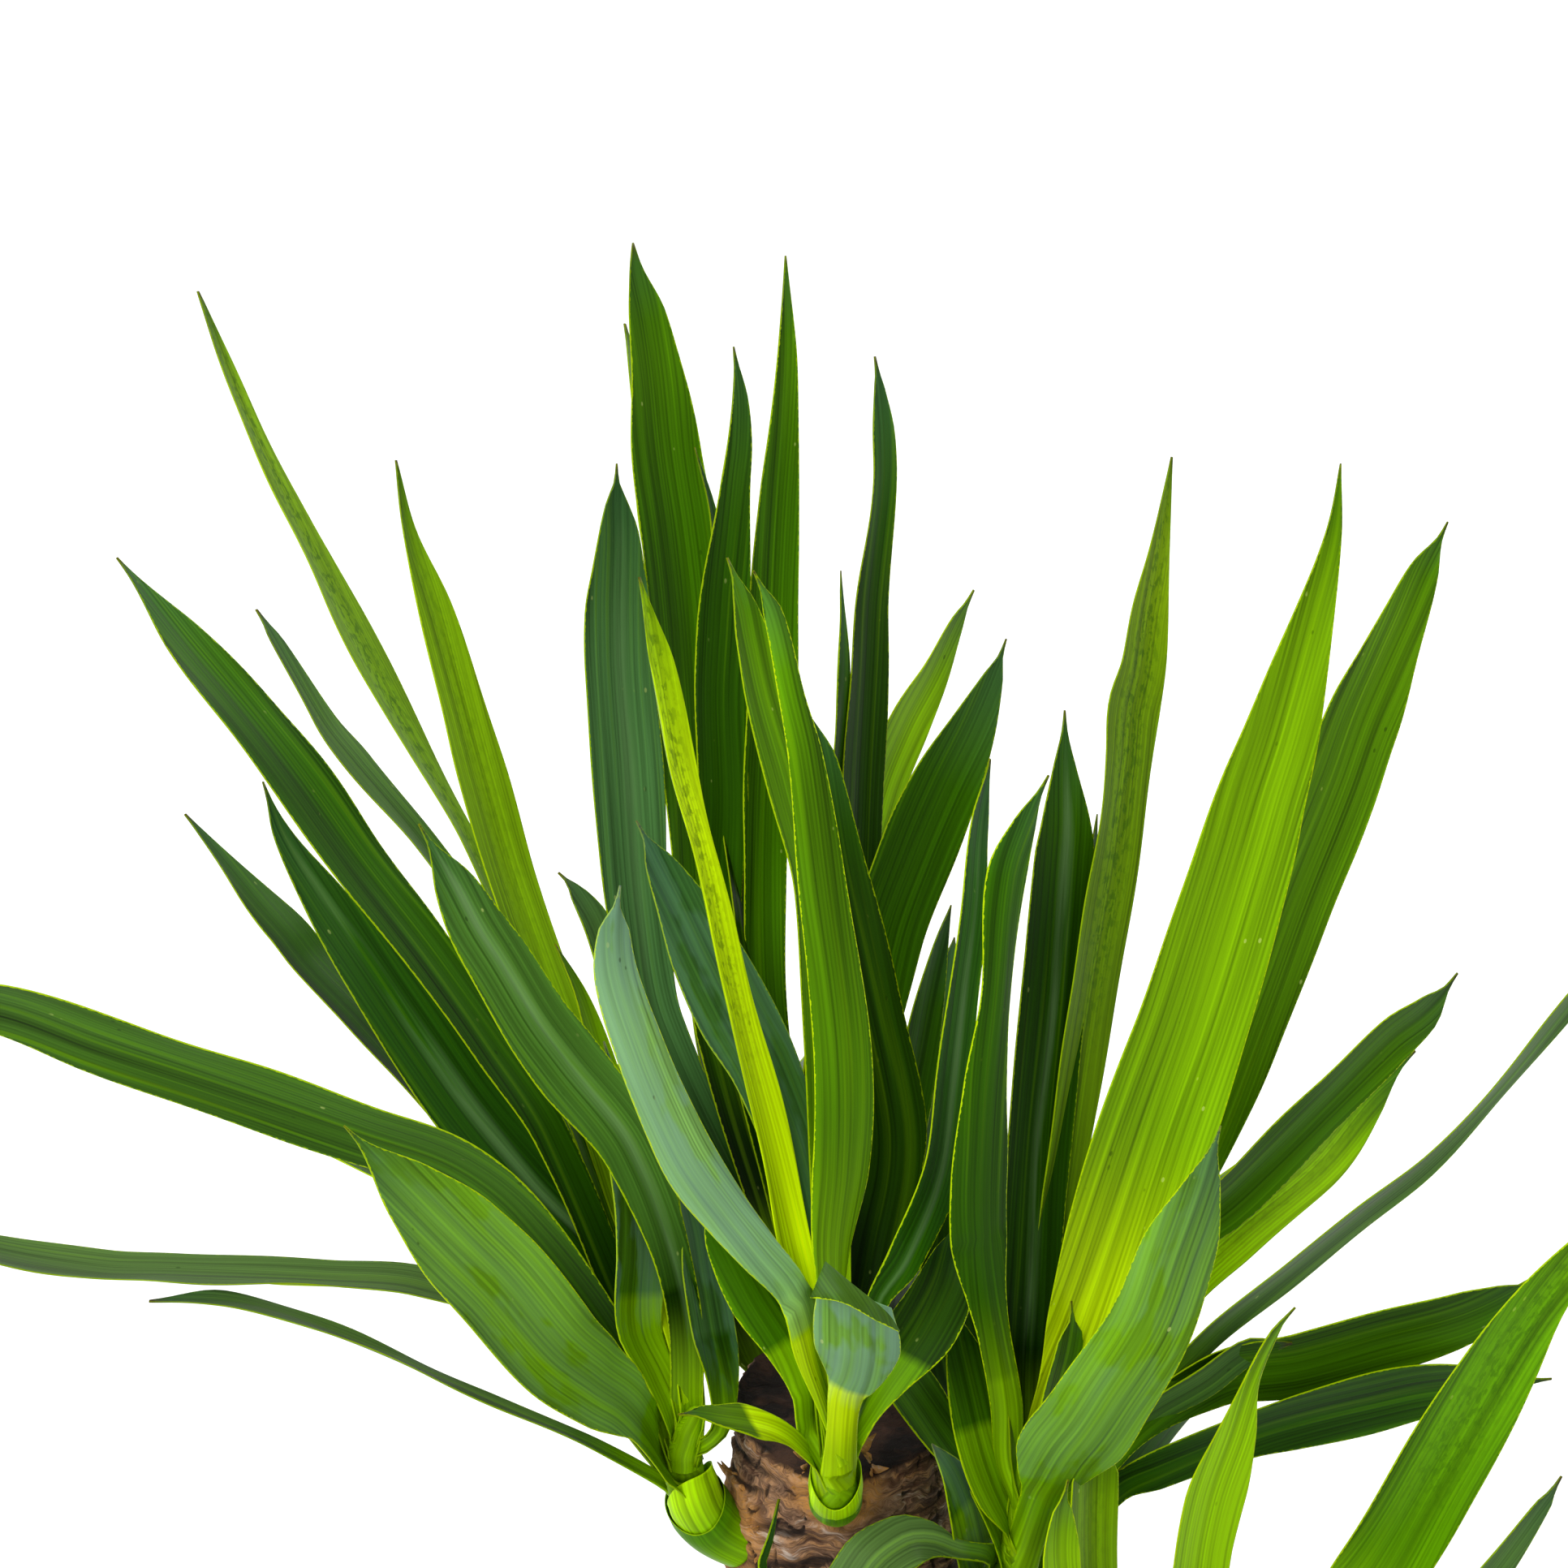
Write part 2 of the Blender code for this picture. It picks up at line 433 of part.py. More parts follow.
def turned(name, profile, sides):
    """A closed body turned round Z from a profile of radius and height that starts and ends on the axis."""
    inner = profile[1:-1]
    vertices = [(0.0, 0.0, profile[0][1])]
    for radius, height in inner:
        for side in range(sides):
            angle = 2 * math.pi * side / sides
            vertices.append((radius * math.cos(angle), radius * math.sin(angle), height))
    vertices.append((0.0, 0.0, profile[-1][1]))
    last = len(vertices) - 1
    faces = []
    for side in range(sides):
        after = (side + 1) % sides
        faces.append((0, 1 + after, 1 + side))
        for ring in range(len(inner) - 1):
            low = 1 + ring * sides
            high = low + sides
            faces.append((low + side, low + after, high + after, high + side))
        top = 1 + (len(inner) - 1) * sides
        faces.append((last, top + side, top + after))
    return object_from(name, vertices, faces)


def make_pot(material):
    slope = (POT_TOP_RADIUS - POT_BASE_RADIUS) / POT_HEIGHT
    rim_low = POT_HEIGHT - POT_RIM_HEIGHT
    rim_radius = POT_TOP_RADIUS + POT_RIM_OUT
    profile = (
        (0.0, 0.0),
        (POT_BASE_RADIUS - POT_FOOT_EDGE, 0.0),
        (POT_BASE_RADIUS, POT_FOOT_EDGE),
        (POT_BASE_RADIUS + slope * rim_low, rim_low),
        (rim_radius - POT_EDGE, rim_low + POT_EDGE),
        (rim_radius, rim_low + 3 * POT_EDGE),
        (rim_radius, POT_HEIGHT - POT_EDGE),
        (rim_radius - POT_EDGE, POT_HEIGHT),
        (POT_TOP_RADIUS - POT_WALL + POT_EDGE, POT_HEIGHT),
        (POT_TOP_RADIUS - POT_WALL, POT_HEIGHT - POT_EDGE),
        (pot_inside(POT_FLOOR), POT_FLOOR),
        (0.0, POT_FLOOR),
    )
    pot = turned("pot", profile, POT_SIDES)
    drains = []
    for number in range(DRAIN_COUNT):
        angle = 2 * math.pi * number / DRAIN_COUNT
        spot = Vector((math.cos(angle), math.sin(angle), 0.0)) * DRAIN_RING_RADIUS
        depth = Vector((0.0, 0.0, 2 * POT_FLOOR))
        drains.append(cylinder("drain", DRAIN_RADIUS, spot - depth, spot + depth, DRAIN_SIDES))
    cut(pot, drains)
    shade(pot)
    pot.data.materials.append(material)
    return pot


def pot_inside(height):
    """The pot's inner radius at a height."""
    slope = (POT_TOP_RADIUS - POT_BASE_RADIUS) / POT_HEIGHT
    return POT_BASE_RADIUS - POT_WALL + slope * height


def make_soil(material):
    gap = 2 * CLEARANCE
    bottom = POT_FLOOR + CLEARANCE
    low = pot_inside(bottom) - gap
    high = pot_inside(SOIL_TOP) - gap
    profile = (
        (0.0, bottom),
        (low, bottom),
        (high, SOIL_TOP - SOIL_EDGE_DROP),
        (high * SOIL_LEVEL_SHARE, SOIL_TOP),
        (0.0, SOIL_TOP + SOIL_CROWN),
    )
    soil = turned("soil", profile, SOIL_SIDES)
    above = Vector((0.0, 0.0, SOIL_TOP + HOLE_OVERRUN))
    below = Vector((0.0, 0.0, SOIL_TOP - HOLE_DEPTH - CLEARANCE))
    holes = []
    for place, radius in ((TALL_PLACE, TALL_RADIUS), (SHORT_PLACE, SHORT_RADIUS)):
        wide = radius + CANE_UNEVENNESS + HOLE_CLEARANCE
        holes.append(cylinder("hole", wide, place + below, place + above, HOLE_SIDES))
    cut(soil, holes)
    shade(soil)
    soil.data.materials.append(material)
    return soil


def make_cane(name, place, top, radius, material):
    """A sawn cane that runs down into the soil, a little uneven, with a slanted cut."""
    bottom = SOIL_TOP - HOLE_DEPTH
    body = top - CUT_EDGE - bottom
    vertices = []
    heights = [bottom + body * ring / CANE_RINGS for ring in range(CANE_RINGS + 1)]
    heights.append(top)
    for ring, height in enumerate(heights):
        for side in range(CANE_SIDES):
            angle = 2 * math.pi * side / CANE_SIDES
            spot = Vector((math.cos(angle), math.sin(angle), BUMPS_PER_METRE * height))
            reach = radius + CANE_UNEVENNESS * noise.noise(spot + place * BUMP_SHIFT)
            if ring == len(heights) - 1:
                reach -= CUT_EDGE
            near_top = max(0.0, 1 - (top - height) / CUT_BEND)
            lift = CUT_RISE * near_top * math.sin(angle)
            vertices.append((reach * math.cos(angle), reach * math.sin(angle), height + lift))
    faces = [tuple(reversed(range(CANE_SIDES)))]
    for ring in range(len(heights) - 1):
        low = ring * CANE_SIDES
        high = low + CANE_SIDES
        for side in range(CANE_SIDES):
            after = (side + 1) % CANE_SIDES
            faces.append((low + side, low + after, high + after))
            faces.append((low + side, high + after, high + side))
    middle = len(vertices)
    vertices.append((0.0, 0.0, top - CUT_DISH))
    for side in range(CANE_SIDES):
        after = (side + 1) % CANE_SIDES
        faces.append((middle, high + side, high + after))
    cane = object_from(name, vertices, faces)
    cane.location = place
    cane.data.materials.append(material)
    return cane


def cut_centre():
    return Vector((TALL_PLACE.x, TALL_PLACE.y, TALL_TOP))


def view_axes():
    """Unit vectors to the viewer's right, up on the board and towards the viewer."""
    right = Vector((1.0, 0.0, 0.0))
    up = Vector((0.0, math.sin(VIEW_RISE), math.cos(VIEW_RISE)))
    near = Vector((0.0, -math.cos(VIEW_RISE), math.sin(VIEW_RISE)))
    return right, up, near


def viewer():
    right, up, near = view_axes()
    centre = cut_centre() + (right * VIEW_CENTRE[0] + up * VIEW_CENTRE[1]) * MM
    return centre + near * VIEW_DISTANCE


def on_board(point):
    """World place of a board point, brought nearer along the viewer's line of sight."""
    right, up, near = view_axes()
    flat = cut_centre() + (right * point[0] + up * point[1]) * MM
    return flat.lerp(viewer(), point[2] * MM / VIEW_DISTANCE)


def smooth_step(share):
    share = min(max(share, 0.0), 1.0)
    return share * share * (3 - 2 * share)


def curve_point(points, share):
    """A point on the smooth curve through the points, by share of its chord length."""
    lengths = [0.0]
    for start, end in zip(points, points[1:]):
        lengths.append(lengths[-1] + (end - start).length)
    want = share * lengths[-1]
    leg = 0
    while leg < len(points) - 2 and lengths[leg + 1] < want:
        leg += 1
    span = lengths[leg + 1] - lengths[leg]
    along = (want - lengths[leg]) / span
    start, end = points[leg], points[leg + 1]
    slopes = []
    for place in (leg, leg + 1):
        before = max(place - 1, 0)
        after = min(place + 1, len(points) - 1)
        slopes.append((points[after] - points[before]) / (lengths[after] - lengths[before]) * span)
    square = along * along
    cube = square * along
    return (
        start * (2 * cube - 3 * square + 1)
        + slopes[0] * (cube - 2 * square + along)
        + end * (3 * square - 2 * cube)
        + slopes[1] * (cube - square)
    )


def curve_way(points, share):
    """The unit vector along the curve at a share of it."""
    ahead = curve_point(points, min(share + TANGENT_STEP, 1.0))
    behind = curve_point(points, max(share - TANGENT_STEP, 0.0))
    return (ahead - behind).normalized()


def shoot_axis(shoot):
    return [cut_centre() + Vector(point) * MM for point in shoot.axis]


def plain_width(leaf, share):
    """The width of a plain sword outline: a fleshy neck, a broad middle and a tapered tip."""
    full = leaf.width * MM
    if share < NECK_END:
        return full * (ROOT_SHARE + (NECK_SHARE - ROOT_SHARE) * share / NECK_END)
    if share < WIDEST:
        grown = smooth_step((share - NECK_END) / (WIDEST - NECK_END))
        return full * (NECK_SHARE + (1 - NECK_SHARE) * grown)
    left = (share - WIDEST) / (1 - WIDEST)
    return max(full * (1 - left**TIP_FULLNESS), TIP_WIDTH)


def width_stops(leaf, points):
    """Shares of the leaf's length with its widths there as the viewer sees them, in metres."""
    lengths = [0.0]
    for start, end in zip(points, points[1:]):
        lengths.append(lengths[-1] + (end - start).length)
    total = lengths[-1]
    stops = [(0.0, FIRST_WIDTH_SHARE * leaf.points[0][3] * MM)]
    for point, reach in zip(leaf.points[:-1], lengths[1:]):
        stops.append((reach / total, point[3] * MM * (1 - point[2] * MM / VIEW_DISTANCE)))
    spine = 1 - SPINE_LENGTH / total
    last = stops[-1]
    if spine > last[0] + LEAST_STEP:
        stops.append((spine, min(SPINE_WIDTH, last[1] / 2)))
    stops.append((1.0, TIP_WIDTH))
    return stops


def through_stops(stops, share):
    """A smooth value at a share that doesn't overshoot its stops."""
    slopes = [0.0] * len(stops)
    steps = [(b[1] - a[1]) / (b[0] - a[0]) for a, b in zip(stops, stops[1:])]
    for place in range(1, len(stops) - 1):
        before, after = steps[place - 1], steps[place]
        if before * after > 0:
            slopes[place] = 2 * before * after / (before + after)
    slopes[-1] = steps[-1]
    place = 0
    while place < len(stops) - 2 and stops[place + 1][0] < share:
        place += 1
    reach = stops[place + 1][0] - stops[place][0]
    along = (share - stops[place][0]) / reach
    square = along * along
    cube = square * along
    return (
        stops[place][1] * (2 * cube - 3 * square + 1)
        + slopes[place] * reach * (cube - 2 * square + along)
        + stops[place + 1][1] * (3 * square - 2 * cube)
        + slopes[place + 1] * reach * (cube - square)
    )


def leaf_width(leaf, stops, share, turn):
    """The blade's true width: as the viewer sees it, opened out by its turn, or a plain outline."""
    if not stops:
        return plain_width(leaf, share)
    seen = through_stops(stops, share)
    most = leaf.width * MM * (BASE_ALLOWANCE + BLADE_ALLOWANCE * smooth_step(share / WIDEST))
    return max(min(seen / max(abs(math.cos(turn)), LEAST_SPREAD), most), TIP_WIDTH)


def leaf_turn(leaf, share, side, facing, upright):
    """The angle of the upper face round the leaf: up the stem at the neck, then as the leaf's roll says."""
    first = math.atan2(upright.dot(side), upright.dot(facing))
    last = math.radians(leaf.roll)
    change = (last - first + math.pi) % (2 * math.pi) - math.pi
    change = min(max(change, -MOST_TWIST), MOST_TWIST)
    return last - change * (1 - smooth_step(share / TURN_END))


def leaf_shape(leaf, shoot):
    """Vertices and faces of one leaf, four points to a ring, split alike on both faces."""
    axis = shoot_axis(shoot)[1:]
    root = curve_point(axis, leaf.seat)
    stem = (axis[-1] - axis[0]).normalized()
    points = [root] + [on_board(point) for point in leaf.points]
    stops = width_stops(leaf, points) if len(leaf.points[0]) > 3 else ()
    eye = viewer()
    length = sum((end - start).length for start, end in zip(points, points[1:]))
    segments = min(max(round(length / SEGMENT_LENGTH), FEWEST_SEGMENTS), MOST_SEGMENTS)
    vertices = []
    for step in range(segments + 1):
        share = step / segments
        place = curve_point(points, share)
        along = curve_way(points, share)
        side = along.cross(eye - place).normalized()
        facing = side.cross(along).normalized()
        upright = (stem - along * stem.dot(along)).normalized()
        turn = leaf_turn(leaf, share, side, facing, upright)
        normal = facing * math.cos(turn) + side * math.sin(turn)
        across = along.cross(normal).normalized()
        half = leaf_width(leaf, stops, share, turn) / 2
        neck = 1 - smooth_step(share / (2 * NECK_END))
        fold = leaf.fold + (NECK_FOLD - leaf.fold) * neck
        thick = LEAF_THICKNESS + (NECK_THICKNESS - LEAF_THICKNESS) * neck
        thick = max(thick * min(1.0, half / THINNING_HALF_WIDTH), TIP_THICKNESS)
        ridge = place - normal * (fold * half)
        vertices.append(place + across * half)
        vertices.append(ridge + normal * (thick / 2))
        vertices.append(place - across * half)
        vertices.append(ridge - normal * (thick / 2))
    return vertices, ring_faces(segments)


def ring_faces(segments):
    """Triangles of a leaf, whose rings run left, ridge on top, right and ridge underneath."""
    faces = [(0, 1, 3), (1, 2, 3)]
    for step in range(segments):
        low = step * RING_POINTS
        high = low + RING_POINTS
        for first, second, forward in ((0, 1, True), (1, 2, False), (2, 3, True), (3, 0, False)):
            faces += split((low + first, high + first, high + second, low + second), forward)
    end = segments * RING_POINTS
    faces += [(end, end + 3, end + 1), (end + 1, end + 3, end + 2)]
    return faces


def split(corners, forward):
    a, b, c, d = corners
    if forward:
        return [(a, b, c), (a, c, d)]
    return [(a, b, d), (b, c, d)]


def stem_shape(shoot):
    """Vertices and faces of the shoot's stem: a straight peg in the cane, then a tapering curve."""
    points = shoot_axis(shoot)
    peg = (points[1] - points[0]).normalized()
    rings = [(points[0], peg, 1.0), (points[0].lerp(points[1], 0.5), peg, 1.0)]
    for step in range(STEM_RINGS + 1):
        share = step / STEM_RINGS
        scale = 1.0 - STEM_TAPER * share
        rings.append((curve_point(points[1:], share), curve_way(points[1:], share), scale))
    vertices = []
    across = peg.orthogonal().normalized()
    for centre, way, scale in rings:
        across = (across - way * across.dot(way)).normalized()
        beside = way.cross(across)
        for corner in range(STEM_SIDES):
            angle = 2 * math.pi * corner / STEM_SIDES
            spoke = across * math.cos(angle) + beside * math.sin(angle)
            vertices.append(centre + spoke * shoot.radius * MM * scale)
    faces = [tuple(reversed(range(STEM_SIDES)))]
    for ring in range(len(rings) - 1):
        low = ring * STEM_SIDES
        high = low + STEM_SIDES
        for corner in range(STEM_SIDES):
            after = (corner + 1) % STEM_SIDES
            faces.append((low + corner, low + after, high + after, high + corner))
    faces.append(tuple(range(high, high + STEM_SIDES)))
    return vertices, faces


def largest_shell(thing):
    """Keeps the biggest connected shell, which drops scraps and fills sealed hollows."""
    shape = bmesh.new()
    shape.from_mesh(thing.data)
    shape.verts.ensure_lookup_table()
    seen = set()
    shells = []
    for start in shape.verts:
        if start.index in seen:
            continue
        shell = []
        waiting = [start]
        seen.add(start.index)
        while waiting:
            vertex = waiting.pop()
            shell.append(vertex)
            for edge in vertex.link_edges:
                other = edge.other_vert(vertex)
                if other.index not in seen:
                    seen.add(other.index)
                    waiting.append(other)
        shells.append(shell)
    shells.sort(key=len)
    spare = [vertex for shell in shells[:-1] for vertex in shell]
    bmesh.ops.delete(shape, geom=spare, context="VERTS")
    shape.to_mesh(thing.data)
    shape.free()


def make_shoot(shoot, material):
    """The stem and its leaves, fused into one solid."""
    body = object_from(shoot.name, *stem_shape(shoot))
    blades = bpy.data.collections.new("blades")
    bpy.context.scene.collection.children.link(blades)
    for leaf in shoot.leaves:
        blade = object_from("blade", *leaf_shape(leaf, shoot))
        bpy.context.scene.collection.objects.unlink(blade)
        blades.objects.link(blade)
    fuse = body.modifiers.new("fuse", "BOOLEAN")
    fuse.operation = "UNION"
    fuse.operand_type = "COLLECTION"
    fuse.solver = "MANIFOLD"
    fuse.collection = blades
    bake_modifiers(body)
    for blade in list(blades.objects):
        bpy.data.objects.remove(blade, do_unlink=True)
    bpy.data.collections.remove(blades)
    largest_shell(body)
    shade(body)
    body.data.materials.append(material)
    return body


def cut_sockets(cane, side):
    """Cuts the socket of each shoot that grows from the cane."""
    sockets = []
    for shoot in SHOOTS:
        if shoot.cane != side:
            continue
        inner, outer = shoot_axis(shoot)[:2]
        way = (outer - inner).normalized()
        wide = shoot.radius * MM + 2 * CLEARANCE
        start = inner - way * CLEARANCE
        end = outer + way * SOCKET_OVERRUN
        sockets.append(cylinder("socket", wide, start, end, SOCKET_SIDES))
    cut(cane, sockets)
    shade(cane)


def main():
    clear_scene()
    plastic = make_material("pot_plastic", (0.035, 0.032, 0.03), 0.6)
    earth = make_material("potting_soil", (0.045, 0.028, 0.017), 0.95)
    bark = make_material("bark", (0.16, 0.085, 0.045), 0.9)
    leaf_green = make_material("leaf_green", (0.05, 0.16, 0.035), 0.45)
    make_pot(plastic)
    make_soil(earth)
    tall = make_cane("cane_tall", TALL_PLACE, TALL_TOP, TALL_RADIUS, bark)
    short = make_cane("cane_short", SHORT_PLACE, SHORT_TOP, SHORT_RADIUS, bark)
    cut_sockets(tall, "tall")
    cut_sockets(short, "short")
    for shoot in SHOOTS:
        make_shoot(shoot, leaf_green)


if __name__ == "__main__":
    main()
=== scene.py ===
import math
import random
from typing import NamedTuple

import bmesh
import bpy
import numpy as np
from mathutils import Matrix, Vector, noise


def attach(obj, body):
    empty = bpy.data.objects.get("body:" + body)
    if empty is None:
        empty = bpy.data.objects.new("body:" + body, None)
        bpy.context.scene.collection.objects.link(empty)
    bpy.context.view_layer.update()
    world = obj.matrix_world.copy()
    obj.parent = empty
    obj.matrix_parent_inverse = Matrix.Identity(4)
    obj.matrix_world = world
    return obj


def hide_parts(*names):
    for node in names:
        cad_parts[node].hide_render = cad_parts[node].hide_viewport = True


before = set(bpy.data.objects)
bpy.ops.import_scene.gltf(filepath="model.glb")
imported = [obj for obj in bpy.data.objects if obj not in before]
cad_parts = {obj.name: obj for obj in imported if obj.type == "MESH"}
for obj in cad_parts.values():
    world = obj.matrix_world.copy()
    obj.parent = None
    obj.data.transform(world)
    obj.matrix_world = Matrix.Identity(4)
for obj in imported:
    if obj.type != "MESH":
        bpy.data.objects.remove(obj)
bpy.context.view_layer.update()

MM = 0.001

# The plant's layout, as the solids have it
SOIL_TOP = 157 * MM
SOIL_RADIUS = 99.7 * MM
SOIL_BOTTOM = 5 * MM
TALL_PLACE = Vector((-46 * MM, 18 * MM, 0.0))
TALL_TOP = 415 * MM
TALL_RADIUS = 33 * MM
SHORT_PLACE = Vector((50 * MM, -22 * MM, 0.0))
SHORT_TOP = 314 * MM
SHORT_RADIUS = 26 * MM
CUT_RISE = 3 * MM
BACK_RISE = 6.5 * MM
BARK_SWELL = 2.2
BULGES = ((2.5, -8, 3.5, 16), (-0.3, -48, 4.5, 20), (3.3, -60, 2.5, 18), (4.4, -90, 3.5, 26))
CUT_BEND = 30 * MM
CUT_DISH = 1.2 * MM
BARK_FOOT = 20 * MM
SOIL_FOOT_RADIUS = 82 * MM

# Leaves are set out on a board that stands through the tall cane's cut, square to the viewer
VIEW_DISTANCE = 1800 * MM
VIEW_RISE = math.radians(26)
VIEW_CENTRE = (-18.5, 192.25)
VIEW_WIDTH = 483 * MM
SENSOR = 36.0
FLOOR_RADIUS = 14
FLOOR_DROP = 0.4 * MM
FLOOR_SIDES = 96
FLOOR_TURN = 6.28318
WORLD_LIGHT = 0.55

# Leaf outline and section
ROW_LENGTH = 3.2 * MM
FEWEST_ROWS = 24
MOST_ROWS = 130
NECK_SHARE = 0.42
ROOT_SHARE = 0.34
NECK_END = 0.14
WIDEST = 0.4
TIP_FULLNESS = 3.0
TIP_WIDTH = 0.5 * MM
SPINE_LENGTH = 5 * MM
SPINE_WIDTH = 1.3 * MM
LEAF_FOLD = 0.16
NECK_FOLD = 0.5
TURN_END = 0.5
MOST_TWIST = math.radians(60)
SHEATH_LENGTH = 24 * MM
SHEATH_DROP = 9 * MM
SHEATH_WRAP = math.radians(112)
SHEATH_GAP = 0.3 * MM
SHEATH_LAYERS = 1.0 * MM
STEM_INSET = 1.6 * MM
LEAF_WAVE = 0.6 * MM
BLADE_THICKNESS = 0.85 * MM
EDGE_THICKNESS = 0.4 * MM
NECK_THICKNESS = 2.6 * MM
EDGE_STRIP = 0.45 * MM
ROOT_STRETCH = 2 * MM
BLADE_START = 0.35
BLADE_END = 0.12
BLADE_CREASE = 0.55
EDGE_LEAN = 0.8
WAVE_TURN = 6.283
COLUMNS = (-1.0, None, -0.86, -0.66, -0.44, -0.22, 0.0, 0.22, 0.44, 0.66, 0.86, None, 1.0)
TANGENT_STEP = 0.02
VEIN_PITCH = 5200.0
STEM_TAPER = 0.6

# Torn strips of bark round each shoot
SHREDS = 22
SHRED_STEPS = 5


class Look(NamedTuple):
    """Colours of a leaf as 0 to 255 screen values, and how much of each mark it carries. A near-black base is
    painted shade on a leaf whose lower part sits deep in the crown.
    """

    base: tuple
    middle: tuple
    tip: tuple
    bloom: float = 0.0
    bands: float = 0.6
    mottle: float = 0.0
    # The next value sets how strongly pale streaks down the blade's middle are painted on: a painted sheen
    # standing in for reflected light.
    stripe: float = 0.0
    edge: float = 0.7
    reach: float = 0.42


# The near-black base colours of the tall, soft, upright, black, olive, striped, dark, wide and haze looks are
# painted shade deep in the crown; the look for the rear leaves behind the crown is painted dark all along,
# shade over a dark green.
LOOKS = {
    "bright": Look((176, 206, 4), (108, 152, 4), (84, 122, 22), bands=0.7),
    "lime": Look((150, 190, 4), (112, 152, 4), (98, 138, 6), bands=0.4, mottle=0.3),
    "neon": Look((204, 234, 4), (180, 212, 14), (158, 204, 6), mottle=0.8, bands=0.2, edge=0.2),
    "mottled": Look((88, 124, 4), (104, 142, 8), (110, 148, 6), mottle=1.0, bands=0.4),
    "olive": Look((18, 42, 3), (96, 130, 3), (122, 156, 3), mottle=0.9, bands=0.7, edge=0.4),
    "fresh": Look((112, 158, 8), (72, 114, 16), (96, 140, 56), bands=0.8, edge=1.0),
    "inner": Look((116, 156, 36), (46, 84, 14), (66, 106, 42), bands=0.9, edge=1.0, reach=0.36),
    "leaning": Look((110, 154, 26), (56, 100, 6), (50, 90, 14), bands=0.6, edge=0.8),
    "shaded": Look((92, 142, 5), (34, 66, 4), (14, 32, 3), bands=0.6, edge=0.9),
    "spur": Look((184, 216, 30), (78, 112, 16), (50, 79, 6), bands=0.4, edge=0.7),
    "mid": Look((70, 110, 6), (60, 102, 16), (80, 116, 44), bands=0.8),
    "yellowish": Look((134, 178, 6), (78, 122, 8), (88, 128, 38), bands=1.0),
    "level": Look((58, 92, 14), (62, 100, 26), (68, 108, 26), bands=0.8),
    "tall": Look((12, 30, 2), (62, 106, 20), (76, 114, 36), bands=0.9, edge=0.7),
    "haze": Look((26, 54, 10), (84, 122, 74), (62, 96, 52), bands=0.7, stripe=0.5, edge=0.6),
    "soft": Look((10, 28, 2), (52, 90, 22), (72, 106, 56), bands=0.8, edge=0.5),
    "dark": Look((24, 54, 4), (46, 82, 22), (64, 100, 40), bands=0.8, edge=0.6),
    "dark_in_shade": Look((8, 20, 2), (32, 62, 6), (56, 90, 42), bands=0.7, edge=0.5),
    "black": Look((14, 34, 2), (44, 80, 28), (58, 94, 43), bands=0.6, stripe=0.7, edge=0.5),
    "gloss": Look((36, 72, 5), (52, 92, 36), (62, 100, 54), bands=0.4, stripe=0.8, edge=0.9),
    "striped": Look((20, 46, 3), (78, 114, 54), (76, 112, 56), bands=0.6, stripe=1.0, edge=0.7),
    "upright": Look((12, 32, 3), (30, 60, 10), (60, 94, 34), bands=0.6, stripe=0.6, edge=0.5),
    "wide": Look((26, 54, 3), (64, 98, 38), (66, 96, 45), bands=0.8, edge=0.8),
    "glaucous": Look((186, 216, 44), (124, 168, 92), (100, 142, 60), bloom=0.8, edge=0.9, reach=0.36),
    "waxy": Look((104, 150, 8), (106, 148, 54), (84, 122, 46), bloom=0.22, bands=0.8, edge=0.9, reach=0.2),
    "curled": Look((200, 226, 12), (108, 152, 60), (100, 144, 66), bloom=1.0, bands=0.2, edge=0.8,
                   reach=0.52),
    "flap": Look((70, 96, 44), (64, 92, 38), (70, 98, 44), bands=0.9, edge=1.0),
    "blue": Look((40, 76, 14), (62, 98, 48), (56, 92, 48), bloom=0.3, bands=0.5, edge=0.5),
    "folded": Look((110, 150, 40), (70, 108, 34), (96, 136, 66), bloom=0.5, bands=0.6, edge=0.7),
    "grey": Look((88, 124, 20), (76, 108, 54), (70, 98, 50), bands=0.6, edge=0.5),
    "dull": Look((70, 100, 44), (82, 108, 60), (62, 86, 46), bands=0.5, edge=0.4),
    "sunlit": Look((196, 236, 8), (160, 212, 10), (84, 140, 36), mottle=0.3, bands=0.4, edge=0.6),
    "blotched": Look((128, 178, 10), (88, 142, 14), (104, 152, 36), mottle=0.6, bands=0.9, edge=0.8),
    "light": Look((140, 184, 20), (146, 190, 64), (104, 140, 56), bands=0.5, edge=0.9),
}
SHEATH_COLOUR = (122, 166, 10)
OUTER_SLEEVE = ((118, 168, 8), (70, 118, 10))
INNER_SLEEVE = ((110, 160, 8), (158, 204, 18))
SCAR_COLOUR = (96, 66, 30)

# Sheaths of old leaves round each stem: start, height and notch in mm, turn of the notch, girth and flare
SLEEVES = {
    "shoot_left": ((12, 39, 9, 70, 0.4, 0.06), (18, 50, 18, -60, -0.5, 0.02)),
    "shoot_front": ((12, 31, 6, 180, -0.1, -0.02), (16, 44, 12, 0, -0.5, 0.08)),
    "shoot_back": ((12, 36, 10, 20, 0.2, 0.05), (18, 48, 16, 200, -0.6, 0.0)),
    "shoot_right": ((12, 38, 12, -60, 0.2, 0.05), (18, 52, 20, 100, -0.6, 0.0)),
    "shoot_low_right": ((12, 34, 10, -60, 0.2, 0.05), (18, 44, 16, 110, -0.6, 0.0)),
    "shoot_low_left": ((12, 34, 10, 60, 0.2, 0.05), (18, 44, 16, -110, -0.6, 0.0)),
}
SLEEVE_SIDES = 64
SLEEVE_STEPS = 26
SLEEVE_WALL = 0.5 * MM
SLEEVE_LIP = 0.7 * MM
SCAR_PLACE = (-2.75, -23.5)
SCAR_SIZE = 0.9
SPINE_COLOUR = (64, 48, 26)
TIP_COLOUR = (44, 74, 48)
TIP_LENGTH = 45 * MM
TIP_SHADE = 0.55
TIP_START = 0.72
TIP_REACH = 0.28
SHEATH_TINT = 0.75

